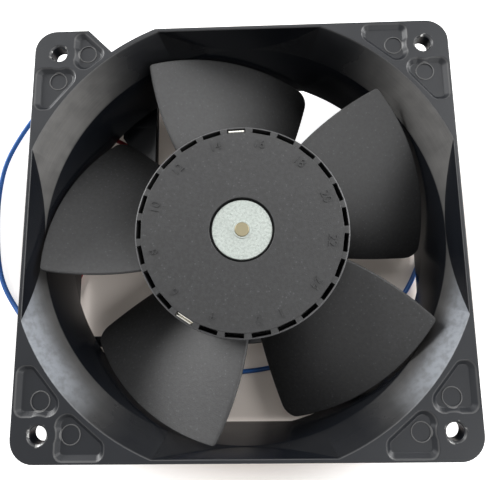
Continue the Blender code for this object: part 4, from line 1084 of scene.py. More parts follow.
@dataclass
class CastFrame:
    """The die-cast frame: duct, flanges, struts and motor plate in one casting."""

    corner_radius: float = 0.0063
    corner_steps: int = 10
    flange: float = 0.004
    edge_round: float = 0.00035
    throat_wall: float = 0.0017
    bell_wall: float = 0.0013
    front_bell: float = 0.0105
    rear_bell: float = 0.008
    rim_round: float = 0.00028
    side_wall: float = 0.0011
    cast_round: float = 0.0015
    hole_chamfer: float = 0.0005
    pocket_draft: float = 0.0013
    pocket_side_draft_share: float = 1.15
    pocket_side_rim: float = 0.0006
    pocket_bell_rim: float = 0.0012
    pocket_angle: float = radians(40)
    pocket_hole_boss: float = 0.0047
    pocket_bump: float = 0.0004
    pocket_length: float = 0.013
    pocket_corner: float = 0.0024
    pocket_inner_corner: float = 0.0032
    pocket_notch_corner: float = 0.0011
    pocket_least_corner: float = 0.0001
    pocket_steps: int = FILLET_STEPS * 2
    pocket_floor_round: float = 0.0005
    pocket_rim_round: float = 0.0005
    pin_radius: float = 0.00245
    pin_depth: float = 0.00008
    pin_ring: float = 0.00018
    pin_ring_steps: int = 8
    notch_near_hole: float = 0.0085
    notch_wall: float = 0.0012
    notch_steps: int = 16
    plate_radius: float = 0.033
    plate_floor: float = 0.002
    plate_wall: float = 0.002
    plate_height: float = 0.0046
    plate_rib: float = 0.025
    plate_rib_size: float = 0.0008
    plate_rounds: tuple[float, ...] = (0.0, 0.0007, 0.0004, 0.0004, 0.0006, 0.0003, 0.0002, 0.0002,
                                       0.0003, 0.0)
    strut_offset: float = 0.03
    strut_width: float = 0.0034
    strut_height: float = 0.0044
    strut_low: float = 0.0006
    strut_round: float = 0.0005
    strut_slant: float = 0.004
    strut_embed: float = 0.0006
    cable_right: float = -0.0316
    cable_wall: float = 0.0015
    cable_channel: float = 0.005
    cable_floor: float = 0.0008
    cable_depth: float = 0.0029
    cable_end: float = 0.04424
    cable_flare: float = 0.0042
    cable_flare_length: float = 0.011
    cable_flare_steps: int = 16
    cable_slot_width: float = 0.0058
    cable_slot_height: float = 0.0033
    cable_window: Point = (-0.006, 0.0125)

    def blank(self) -> Item:
        """The square block with round edges that the casting is carved from.

        Returns:
            The block.
        """
        def outline(inset: float) -> Outline:
            """The square drawn in."""
            return soften(square(HALF - inset), self.corner_radius - inset, self.corner_steps)

        return rounded_block("cast_frame", outline, REAR, FRONT, self.edge_round)

    def corner_space(self) -> Item:
        """The open space between the two flanges, outside the duct.

        Returns:
            The tool.
        """
        space = solid("corner_space",
                      block(square(OUTSIDE), REAR + self.flange, FRONT - self.flange))
        bell = BELL_RADIUS + self.bell_wall
        throat = THROAT_RADIUS + self.throat_wall
        corners = [(0.0, BELOW), (bell, BELOW), (bell, BELOW + self.flange),
                   (throat, REAR + self.rear_bell), (throat, FRONT - self.front_bell),
                   (bell, ABOVE - self.flange), (bell, ABOVE), (0.0, ABOVE)]
        radii = [0.0, 0.0, *[self.cast_round] * 4, 0.0, 0.0]
        duct = solid("duct_outside", revolve(soften(corners, radii), BORE_STEPS))
        return carve(space, Boolean.CUT, duct)

    def bore(self) -> Item:
        """The duct's inside with round rims, cut flat where it would break through the sides.

        Returns:
            The tool.
        """
        beyond = BELL_RADIUS + self.bell_wall
        rear_throat = (THROAT_RADIUS, REAR + self.rear_bell)
        front_throat = (THROAT_RADIUS, FRONT - self.front_bell)
        rear_rim = rounded_corner((beyond, REAR), (BELL_RADIUS, REAR), rear_throat,
                                  self.rim_round)
        front_rim = rounded_corner(front_throat, (BELL_RADIUS, FRONT), (beyond, FRONT),
                                   self.rim_round)
        profile = [(0.0, BELOW), (rear_rim[0][0], BELOW), *rear_rim, rear_throat,
                   front_throat, *front_rim, (front_rim[-1][0], ABOVE), (0.0, ABOVE)]
        bore = solid("duct_bore", revolve(profile, BORE_STEPS))
        sides = rounded_block("bore_sides", lambda inset: square(HALF - self.side_wall - inset),
                              REAR, FRONT, -self.rim_round, OVERRUN * 2)
        return carve(bore, Boolean.KEEP, sides)

    def pocket_outline(self, inset: float, notched: bool) -> Outline:
        """The pocket at the +X side of the +X +Y corner: a rounded wedge dented by the hole's boss.

        Args:
            inset: How far the outline is drawn in from the pocket's rim.
            notched: Whether the pocket ends beside the cable notch's slanted side.

        Returns:
            The outline.
        """
        side_inset = inset * self.pocket_side_draft_share if inset > 0.0 else inset
        lean, rise = cos(self.pocket_angle), sin(self.pocket_angle)
        boss = self.pocket_hole_boss
        outer = HALF - self.pocket_side_rim - side_inset
        top = HOLE_PLACE - boss + self.pocket_bump - inset
        bottom = top - self.pocket_length + inset * 2
        rim = BELL_RADIUS + self.pocket_bell_rim + inset
        corners = [(outer, bottom), (outer, top),
                   *(((rim - y * rise) / lean, y) for y in (top, bottom))]
        radii = [self.pocket_corner] * 4
        radii[2] = self.pocket_inner_corner
        if notched:
            slant = HALF + self.notch_edge(0.0) - (self.notch_wall + inset) * sqrt(2)
            end = (rim + slant * rise) / (lean + rise)
            corners[0], corners[3] = (outer, outer - slant), (end, end - slant)
            radii[0] = self.pocket_notch_corner
        radii = [max(radius - inset, self.pocket_least_corner) for radius in radii]
        dent = asin((boss - self.pocket_bump) / boss)
        points = soften(corners, radii, self.pocket_steps)
        after_top = 2 * (self.pocket_steps + 1)
        bump = arc(boss, self.pocket_steps, -dent, dent + dent - pi)
        return [*points[:after_top], *((HOLE_PLACE + x, HOLE_PLACE - inset + y) for x, y in bump),
                *points[after_top:]]

    def pockets(self) -> Item:
        """All flange pockets with their drafted walls and round rims.

        Returns:
            The tool.
        """
        floor_corner = (self.pocket_draft, -POCKET_DEPTH)
        wall = rounded_corner((self.pocket_draft + self.pocket_rim_round, -POCKET_DEPTH),
                              floor_corner, (0.0, 0.0), self.pocket_floor_round)
        wall += rounded_corner(floor_corner, (0.0, 0.0), (-OVERRUN, 0.0), self.pocket_rim_round)
        wall.append((wall[-1][0], OVERRUN))
        pockets = []
        for name, pattern, notched, swapped in (
                ("flange_pockets", Pattern(4, pi / 2), False, True),
                ("other_pockets", Pattern(3, pi / 2, pi), False, False),
                ("notched_pocket", Pattern(1, pi / 2, pi / 2), True, False)):
            levels = [(self.pocket_outline(inset, notched), FRONT + height)
                      for inset, height in wall]
            if swapped:
                levels = [([(y, x) for x, y in outline], height) for outline, height in levels]
            pockets.append(pattern.repeat(solid(name, stack(levels))))
        return carve(pockets[0], Boolean.JOIN, *pockets[1:])

    @staticmethod
    def at_pins(name: str, profile: Outline) -> Item:
        """A profile turned about the place of every ejector pin.

        Args:
            name: The tool's name.
            profile: Radius and height of each point.

        Returns:
            The tool.
        """
        first = solid(name, revolve(profile, ROUND_STEPS, PIN_PLACE))
        other = solid(f"other_{name}", revolve(profile, ROUND_STEPS, PIN_PLACE[::-1]))
        return Pattern(4, pi / 2).repeat(carve(first, Boolean.JOIN, other))

    def pin_rings(self) -> Item:
        """The thin raised rings that the ejector pins leave in the pockets' floors.

        Returns:
            The tool.
        """
        floor = FRONT - POCKET_DEPTH
        profile = [(self.pin_radius + x, floor + z)
                   for x, z in arc(self.pin_ring, self.pin_ring_steps, pi / self.pin_ring_steps)]
        return self.at_pins("pin_rings", profile)

    def pin_marks(self) -> Item:
        """The shallow discs inside those rings.

        Returns:
            The tool.
        """
        low = FRONT - POCKET_DEPTH - self.pin_depth
        high = FRONT - POCKET_DEPTH + self.pin_depth * 2
        edge = self.pin_radius - self.pin_ring * 0.8
        profile = [(0.0, low), (edge, low), (edge + self.pin_depth / 2, high), (0.0, high)]
        return self.at_pins("pin_marks", profile)

    def notch_edge(self, inset: float) -> float:
        """X where the cable notch's slanted side meets the +Y side."""
        return self.notch_near_hole - HOLE_PLACE + inset * sqrt(2)

    def notch_outline(self, inset: float) -> Outline:
        """The V-shaped notch: from the +Y side in at 45 degrees, then round the duct's outside.

        Args:
            inset: How far it is drawn in.

        Returns:
            The outline.
        """
        bell = BELL_RADIUS + self.bell_wall + inset
        edge = self.notch_edge(inset)
        along = HALF - edge
        beyond = edge ** 2 + HALF ** 2 - bell ** 2
        depth = (along - sqrt(along ** 2 - beyond - beyond)) / 2
        bottom = atan2(HALF - depth, edge + depth)
        side = pi - asin(HALF / bell)
        rim = arc(bell, self.notch_steps, bottom, side - bottom)
        return [(edge - OVERRUN, OUTSIDE), *rim, (rim[-1][0] + OVERRUN, OUTSIDE)]

    def notch(self) -> Item:
        """The cable notch through both flanges, with round edges."""
        return rounded_block("cable_notch", self.notch_outline, REAR, FRONT, -self.rim_round,
                             OVERRUN)

    def holes(self) -> Item:
        """The four mounting holes, chamfered at the outer faces.

        Returns:
            The tool.
        """
        wide = HOLE_RADIUS + self.hole_chamfer + OVERRUN
        profile = [(0.0, BELOW), (wide, BELOW), (HOLE_RADIUS, REAR + self.hole_chamfer),
                   (HOLE_RADIUS, FRONT - self.hole_chamfer), (wide, ABOVE), (0.0, ABOVE)]
        hole = solid("mounting_holes", revolve(profile, ROUND_STEPS, (HOLE_PLACE, HOLE_PLACE)))
        return Pattern(4, pi / 2).repeat(hole)

    def plate(self) -> Item:
        """The motor plate: a shallow dish with a raised rim and a low rib.

        Returns:
            The solid.
        """
        low = REAR + SEAT_GAP
        rim = REAR + self.plate_height
        floor = REAR + self.plate_floor
        inner = self.plate_radius - self.plate_wall
        rib, rib_outside = self.plate_rib, self.plate_rib + self.plate_rib_size
        crest = floor + self.plate_rib_size
        corners = [(0.0, low), (self.plate_radius, low), (self.plate_radius, rim), (inner, rim),
                   (inner, floor), (rib_outside, floor), (rib_outside, crest), (rib, crest),
                   (rib, floor), (0.0, floor)]
        return solid("motor_plate", revolve(soften(corners, self.plate_rounds), BORE_STEPS))

    def strut_outline(self, inset: float) -> Outline:
        """A plain strut that leaves the plate at a tangent, along +Y at -X.

        Args:
            inset: How far it is drawn in.

        Returns:
            The outline.
        """
        inner = -self.strut_offset - inset
        outer = -self.strut_offset - self.strut_width + inset
        return [(outer, self.strut_slant), (inner, -self.strut_slant), (inner, HALF),
                (outer, HALF)]

    def cable_outline(self, inset: float) -> Outline:
        """The wide strut that carries the leads, or its hollow when drawn in, flared at its end.

        Args:
            inset: How far it is drawn in.

        Returns:
            The outline.
        """
        right = self.cable_right - inset
        left = self.cable_right - self.cable_wall * 2 - self.cable_channel + inset
        flare_start = self.cable_end - self.cable_flare - self.cable_flare_length
        shares = [step / self.cable_flare_steps for step in range(self.cable_flare_steps + 1)]
        side = [(left - self.cable_flare * share ** 2,
                 flare_start + self.cable_flare_length * share) for share in shares]
        return [(right, -self.strut_slant), (right, HALF), (left - self.cable_flare, HALF),
                *side[::-1], (left, self.strut_slant)]

    def spider(self) -> Item:
        """The motor plate with its four struts, ended inside the duct's wall.

        Returns:
            The solid.
        """
        ends = (REAR + self.strut_low, REAR + self.strut_height, self.strut_round)
        strut = rounded_block("plain_struts", self.strut_outline, *ends)
        struts = Pattern(3, pi / 2, pi / 2).repeat(strut)
        cable = rounded_block("cable_strut", self.cable_outline, *ends)
        high = REAR + self.strut_height + OVERRUN
        for name, radius, operation in (
                ("strut_reach", BELL_RADIUS + self.strut_embed, Boolean.KEEP),
                ("dish_inside", self.plate_radius - self.plate_wall / 2, Boolean.CUT)):
            for arm in (struts, cable):
                disc = solid(name, block(arc(radius, BORE_STEPS), BELOW, high))
                carve(arm, operation, disc)
        return carve(self.plate(), Boolean.JOIN, struts, cable)

    def channels(self) -> list[Item]:
        """The cable strut's hollow, its shallow recess and its openings.

        Returns:
            The tools.
        """
        inside = self.cable_outline(self.cable_wall)
        start = self.cable_wall + self.strut_slant
        hollow, recess = ([(x, min(max(y, first), self.cable_end)) for x, y in inside]
                          for first in (start, start + self.cable_wall))
        floor = REAR + self.cable_depth
        middle = self.cable_right - self.cable_wall - self.cable_channel / 2
        half_slot = self.cable_slot_width / 2
        slot = rectangle(middle - half_slot, self.cable_end - OVERRUN,
                         middle + half_slot, OUTSIDE)
        window = rectangle(middle - self.cable_channel / 2, self.cable_window[0],
                           -(self.plate_rib + self.plate_rib_size + SEAT_GAP), self.cable_window[1])
        return [solid(name, block(outline, bottom, top)) for name, outline, bottom, top in (
            ("cable_hollow", hollow, BELOW, floor),
            ("cable_recess", recess, floor + self.cable_floor, REAR + self.strut_height + OVERRUN),
            ("cable_slot", slot, BELOW, REAR + self.cable_slot_height),
            ("cable_window", window, BELOW, floor))]

    def build(self) -> None:
        """Carve the casting and dress it."""
        casting = carve(self.blank(), Boolean.CUT, self.corner_space(), self.pockets())
        carve(casting, Boolean.JOIN, self.pin_rings())
        carve(casting, Boolean.CUT, self.pin_marks(), self.bore())
        carve(casting, Boolean.JOIN, self.spider())
        carve(casting, Boolean.CUT, self.notch(), self.holes(), *self.channels())
        settle(smooth(casting), PAINT, Body.HOUSING, "cast_black", "fan_housing")


# Rotor

@dataclass
class BalanceRing:
    """The ring of numbered pockets in the hub's face, counted clockwise."""

    count: int = 25
    radius: float = 0.02855
    length: float = 0.0052
    width: float = 0.00125
    depth: float = 0.011
    corner: float = 0.00015
    first_number: int = 15
    first_angle: float = radians(92.5)

    def place(self, number: int, radius: float, height: float) -> Matrix:
        """Place on the hub's face at a numbered pocket's angle, with X outwards."""
        angle = self.first_angle + (self.first_number - number) * tau / self.count
        return Matrix.Rotation(angle, 4, 'Z') @ Matrix.Translation((radius, 0.0, height))

    def cutters(self, top: float) -> Item:
        """All pockets as one tool, from their floors to above the hub's face.

        Args:
            top: Height of the hub's face.

        Returns:
            The tool.
        """
        outline = rectangle(self.radius - self.width / 2, -self.length / 2,
                            self.radius + self.width / 2, self.length / 2)
        tool = solid("balance_pockets",
                     block(soften(outline, self.corner), top - self.depth, top + OVERRUN))
        return Pattern(self.count, tau / self.count, self.first_angle).repeat(tool)


@dataclass
class Impeller:
    """Hub cup and five twisted blades in one moulding."""

    ring: BalanceRing
    bottom: float = -0.0128
    hub_wall: float = 0.0029
    hub_face: float = 0.0022
    hub_hole: float = 0.009
    hub_rounds: tuple[float, ...] = (0.00015, 0.00004, 0.00004, 0.0006, 0.0002, 0.0002, 0.0006, 0.0)
    step_radius: float = 0.02785
    step_depth: float = 0.00014
    blades: int = 5
    tip_radius: float = 0.0572
    root_overlap: float = 0.0012
    root_angles: Point = (radians(128.5), radians(62.2))
    tip_angles: Point = (radians(118.2), radians(66.7))
    root_heights: Point = (0.0118, -0.012)
    tip_heights: Point = (0.0147, -0.0126)
    camber: float = 0.0012
    root_thickness: float = 0.0021
    tip_thickness: float = 0.0015
    edge_thickness: float = 0.0008
    trailing_corner: float = 0.004
    leading_corner: float = 0.0008
    root_fillet: float = 0.0009
    tip_round: float = 0.0003
    chord_steps: int = 40
    span_steps: int = 16
    round_steps: int = 5
    least_step: float = 0.00002

    def hub(self) -> Item:
        """The hub cup: face, rounded rim, and a hole for the boss.

        Returns:
            The solid.
        """
        inner = HUB_RADIUS - self.hub_wall
        under = HUB_TOP - self.hub_face
        ledge = HUB_TOP - self.step_depth
        corners = [(self.hub_hole, HUB_TOP), (self.step_radius, HUB_TOP),
                   (self.step_radius + self.step_depth / 2, ledge), (HUB_RADIUS, ledge),
                   (HUB_RADIUS, self.bottom), (inner, self.bottom), (inner, under),
                   (self.hub_hole, under)]
        return solid("impeller_moulding", revolve(soften(corners, self.hub_rounds), BORE_STEPS))

    def span(self, radius: float) -> float:
        """Share of the way from the hub to the blade's tip."""
        return (radius - HUB_RADIUS) / (self.tip_radius - HUB_RADIUS)

    def edges(self, radius: float) -> list[float]:
        """Angle of a blade's leading and trailing edge at a radius, then their heights.

        Args:
            radius: Distance from the axis.

        Returns:
            Both angles and both heights.
        """
        share = self.span(radius)
        roots = (*self.root_angles, *self.root_heights)
        tips = (*self.tip_angles, *self.tip_heights)
        return [root + (tip - root) * share for root, tip in zip(roots, tips)]

    def corner_cut(self, radius: float, corner: float) -> float:
        """How far a round tip corner takes back an edge at a radius."""
        into = max(radius - (self.tip_radius - corner), 0.0)
        return corner - sqrt(max(corner ** 2 - into ** 2, 0.0))

    def half_thickness(self, radius: float, share: float) -> float:
        """Half of the blade's thickness, fuller at the root and rounded off at the tip.

        Args:
            radius: Distance from the axis.
            share: Share of the chord, 0 at the trailing edge and 1 at the leading edge.

        Returns:
            Half the thickness.
        """
        thinning = (self.root_thickness - self.tip_thickness) * self.span(radius)
        swell = sqrt(max(4.0 * share * (1.0 - share), 0.0))
        thickest = self.root_thickness - thinning
        half = (self.edge_thickness + (thickest - self.edge_thickness) * swell) / 2
        inner = self.root_fillet - min(max(radius - HUB_RADIUS, 0.0), self.root_fillet)
        half += (self.root_fillet - sqrt(self.root_fillet ** 2 - inner ** 2)) * swell
        return half - self.corner_cut(radius, self.tip_round)

    def section(self, radius: float) -> list[Vector]:
        """One blade section on the cylinder of a radius, all the way round.

        Args:
            radius: The cylinder's radius.

        Returns:
            The section's points.
        """
        lead, trail, lead_height, trail_height = self.edges(radius)
        run, rise = (lead - trail) * radius, lead_height - trail_height
        chord = hypot(run, rise)
        slope = atan2(rise, run)
        first = self.corner_cut(radius, self.trailing_corner) / chord
        last = 1.0 - self.corner_cut(radius, self.leading_corner) / chord
        blunt = self.edge_thickness / 2
        sides: dict[float, list[Vector]] = {1.0: [], -1.0: []}
        for step in range(self.chord_steps + 1):
            share = first + (last - first) * (1.0 - cos(pi * step / self.chord_steps)) / 2
            edge = min(min(share - first, last - share) * chord / blunt, 1.0)
            half = self.half_thickness(radius, share) * sqrt(edge * (2.0 - edge))
            bow = self.camber * 4.0 * share * (1.0 - share)
            for side, points in sides.items():
                lift = bow + side * half
                angle = trail + (chord * share * cos(slope) - lift * sin(slope)) / radius
                height = trail_height + chord * share * sin(slope) + lift * cos(slope)
                points.append(Vector((radius * cos(angle), radius * sin(angle), height)))
        return sides[1.0] + sides[-1.0][-2:0:-1]

    def stations(self) -> list[float]:
        """Radii of the blade's sections, closer together at the root fillet and the tip.

        Returns:
            The radii, from the root outwards.
        """
        quarter = [pi / 2 * step / self.round_steps for step in range(self.round_steps + 1)]
        foot = HUB_RADIUS + self.root_fillet
        corner = self.tip_radius - self.trailing_corner
        steps = range(1, self.span_steps + 1)
        radii = [HUB_RADIUS - self.root_overlap]
        radii += [foot - self.root_fillet * cos(turn) for turn in quarter]
        radii += [foot + (corner - foot) * step / self.span_steps for step in steps]
        radii += [corner + self.trailing_corner * sin(turn) for turn in quarter[1:-1]]
        radii += [self.tip_radius - self.tip_round + self.tip_round * sin(turn) for turn in quarter]
        ordered = sorted(radii)
        return [radius for before, radius in zip([0.0, *ordered], ordered)
                if radius - before > self.least_step]

    def blade(self) -> Item:
        """One blade, lofted through its sections.

        Returns:
            The solid.
        """
        builder = bmesh.new()
        loops = [[builder.verts.new(point) for point in self.section(radius)]
                 for radius in self.stations()]
        skin(builder, loops)
        last = self.chord_steps
        for loop in (loops[0], loops[-1]):
            builder.faces.new((loop[0], loop[1], loop[-1]))
            for step in range(1, last - 1):
                builder.faces.new((loop[step], loop[step + 1], loop[-step - 1], loop[-step]))
            builder.faces.new(loop[last - 1:last + 2])
        return solid("blades", builder)

    def build(self) -> None:
        """Join the blades to the hub, cut the pockets and dress the moulding."""
        blades = Pattern(self.blades, -tau / self.blades).repeat(self.blade())
        moulding = carve(self.hub(), Boolean.JOIN, blades)
        carve(moulding, Boolean.CUT, self.ring.cutters(HUB_TOP))
        settle(smooth(moulding), MOULDING, Body.ROTOR, "grey_moulding", "impeller")


@dataclass
class PocketNumbers:
    """Small raised numbers inside the ring of pockets, their tops towards the rim."""

    ring: BalanceRing
    numbers: tuple[int, ...] = (1, *range(2, 25, 2))
    radius: float = 0.0249
    size: float = 0.0035
    relief: float = 0.00025
    sink: float = 0.00004
    swell: float = 0.00004

    def numeral(self, number: int) -> bpy.types.Mesh:
        """One number as a raised mesh in its place.

        Args:
            number: The number.

        Returns:
            Its mesh.
        """
        text = bpy.data.curves.new("number", 'FONT')
        text.body = str(number)
        text.size = self.size
        text.align_x = text.align_y = 'CENTER'
        text.extrude = (self.relief + self.sink) / 2
        text.offset = -self.swell
        text.resolution_u = 4
        item = new_item("number", text)
        mesh = made_mesh(item)
        discard(item)
        place = self.ring.place(number, self.radius, HUB_TOP + (self.relief - self.sink) / 2)
        mesh.transform(place @ Matrix.Rotation(-pi / 2, 4, 'Z'))
        return mesh

    def build(self) -> None:
        """Join the numbers into one piece and dress it."""
        whole = bmesh.new()
        for number in self.numbers:
            mesh = self.numeral(number)
            whole.from_mesh(mesh)
            bpy.data.meshes.remove(mesh)
        bmesh.ops.remove_doubles(whole, verts=whole.verts, dist=WELD)
        settle(smooth(solid("pocket_numbers", whole)), MOULDING, Body.ROTOR, "grey_moulding")


class Fold(Enum):
    """Which end of a balance clip its fold is at."""

    UP = 1.0
    DOWN = -1.0


@dataclass
class BalanceClip:
    """A strip of spring steel folded in two and pressed into one pocket."""

    ring: BalanceRing
    number: int
    fold: Fold
    length: float = 0.0044
    width: float = 0.0009
    sheet: float = 0.0002
    bend_steps: int = 12

    def build(self) -> None:
        """Bend the strip, set it in its pocket and dress it."""
        low, high = (corner[2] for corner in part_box(f"balance_clip_{self.number}"))
        outer = self.width / 2
        inner = outer - self.sheet
        middle = high - outer
        bend, hollow = ([(x, middle + z) for x, z in arc(radius, self.bend_steps, start, sweep)]
                        for radius, start, sweep in ((outer, 0.0, pi), (inner, pi, -pi)))
        section = [(outer, low), *bend, (-outer, low), (-inner, low), *hollow, (inner, low)]
        if self.fold is Fold.DOWN:
            section = [(x, low + high - z) for x, z in section]
        strip = block(section, -self.length / 2, self.length / 2)
        place = self.ring.place(self.number, self.ring.radius, 0.0)
        strip.transform(place @ Matrix.Rotation(pi / 2, 4, 'X'))
        clip = smooth(solid(f"spring_clip_{self.number}", strip))
        settle(clip, SPRING_STEEL, Body.ROTOR, "steel", f"balance_clip_{self.number}")


@dataclass
class Boss:
    """The zinc disc cast round the shaft's end, with a raised collar and one gate mark."""

    radius: float = 0.00835
    collar: float = 0.00245
    collar_height: float = 0.0002
    collar_slope: float = 0.0001
    neck: float = 0.0046
    disc_low: float = 0.0143
    bore: float = 0.00202
    rounds: tuple[float, ...] = (0.00004, 0.00008, 0.00006, 0.00025, 0.0001, 0.0, 0.0001, 0.0)
    mark_place: Point = (-0.0032, 0.0041)
    mark_radius: float = 0.00048
    mark_depth: float = 0.00014
    steps: int = 96
    mark_steps: int = 32

    def build(self) -> None:
        """Turn the disc, sink the mark and dress it."""
        low, top = (corner[2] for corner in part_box("rotor_boss"))
        face = top - self.collar_height
        corners = [(self.bore, top), (self.collar, top), (self.collar + self.collar_slope, face),
                   (self.radius, face), (self.radius, self.disc_low), (self.neck, self.disc_low),
                   (self.neck, low), (self.bore, low)]
        boss = solid("zinc_boss", revolve(soften(corners, self.rounds), self.steps))
        bowl = [(self.mark_radius * out, face + self.mark_depth * up) for out, up in
                ((0.0, -1.0), (0.5, -0.8), (0.85, -0.35), (1.0, 0.0), (1.05, 1.0), (0.0, 1.0))]
        mark = solid("gate_mark", revolve(bowl, self.mark_steps, self.mark_place))
        settle(smooth(carve(boss, Boolean.CUT, mark)), ZINC, Body.ROTOR, "zinc", "rotor_boss")


@dataclass
class Shaft:
    """The ground steel shaft with its ring groove and chamfered ends."""

    radius: float = 0.002
    chamfer: float = 0.0002
    groove_depth: float = 0.0004
    groove_low: float = -0.0156
    groove_high: float = -0.0143
    sharp_angle: float = radians(25)

    def build(self) -> None:
        """Turn the shaft and dress it."""
        low, top = (corner[2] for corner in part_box("shaft"))
        narrow = self.radius - self.chamfer
        groove = self.radius - self.groove_depth
        profile = [(0.0, top), (narrow, top), (self.radius, top - self.chamfer),
                   (self.radius, self.groove_high), (groove, self.groove_high),
                   (groove, self.groove_low), (self.radius, self.groove_low),
                   (self.radius, low + self.chamfer), (narrow, low), (0.0, low)]
        shaft = smooth(solid("rotor_shaft", revolve(profile, ROUND_STEPS)), self.sharp_angle)
        settle(shaft, SHAFT_STEEL, Body.ROTOR, "steel", "shaft")


# Leads

LEAD_RADIUS = 0.0008
CHANNEL = REAR + 0.0018
SOLDER = REAR + 0.0068 - SEAT_GAP - LEAD_RADIUS
SURFACE = REAR - SEAT_GAP - LEAD_RADIUS
CROSSING = SURFACE + LEAD_RADIUS + SEAT_GAP + LEAD_RADIUS


def at_level(level: float, *places: Point) -> list[Place]:
    """Points of a route at one height, from X and Y in millimetres."""
    return [(x / 1000, y / 1000, level) for x, y in places]


RED_ROUTE = (
    *at_level(SOLDER, (-19.5, -9.5)), *at_level(REAR + 0.0041, (-24.6, -7.6)),
    *at_level(CHANNEL, (-29.8, -4.0), (-34.0, 1.2), (-36.2, 8.0), (-36.6, 18.0), (-36.6, 30.0),
              (-36.6, 44.0), (-36.6, 54.0)),
    *at_level(REAR + 0.0004, (-37.4, 58.5)),
    *at_level(SURFACE, (-39.5, 63.0), (-44.5, 66.8), (-52.0, 66.8), (-57.5, 62.0), (-58.5, 54.0),
              (-55.0, 46.8), (-49.0, 42.1), (-43.4, 38.5), (-40.0, 33.0), (-40.5, 22.0),
              (-48.0, 8.0), (-55.0, -1.0), (-58.9, -7.8), (-61.4, -13.9), (-66.2, -22.5),
              (-70.0, -31.0), (-70.5, -42.0), (-67.0, -54.0), (-58.0, -63.5), (-44.0, -67.5),
              (-26.0, -68.0), (-6.0, -66.8), (14.0, -66.0), (34.0, -67.2), (50.0, -67.0),
              (62.0, -62.0), (68.0, -54.0)),
)

BLUE_ROUTE = (
    *at_level(SOLDER, (-20.0, -5.5)), *at_level(REAR + 0.0044, (-25.2, -4.2)),
    *at_level(REAR + 0.0021, (-29.0, -0.6)),
    *at_level(CHANNEL, (-32.0, 4.0), (-33.9, 9.8), (-34.6, 18.5), (-34.6, 30.0), (-34.6, 44.0),
              (-34.6, 54.0)),
    *at_level(REAR + 0.0004, (-34.8, 59.0)),
    *at_level(SURFACE, (-35.8, 64.0), (-40.0, 69.4), (-50.0, 71.2), (-63.0, 67.2), (-73.5, 58.8),
              (-81.4, 48.8), (-88.5, 35.2), (-90.7, 24.8), (-90.7, 8.0), (-87.9, -8.9),
              (-82.5, -19.0)),
    *at_level(CROSSING, (-73.8, -28.4), (-67.2, -33.6)),
    *at_level(SURFACE, (-59.0, -37.8), (-44.0, -42.5), (-24.0, -44.0), (-2.8, -42.7), (7.0, -41.5),
              (33.0, -34.5), (53.8, -17.9), (61.7, -2.9), (63.2, 2.0)),
)


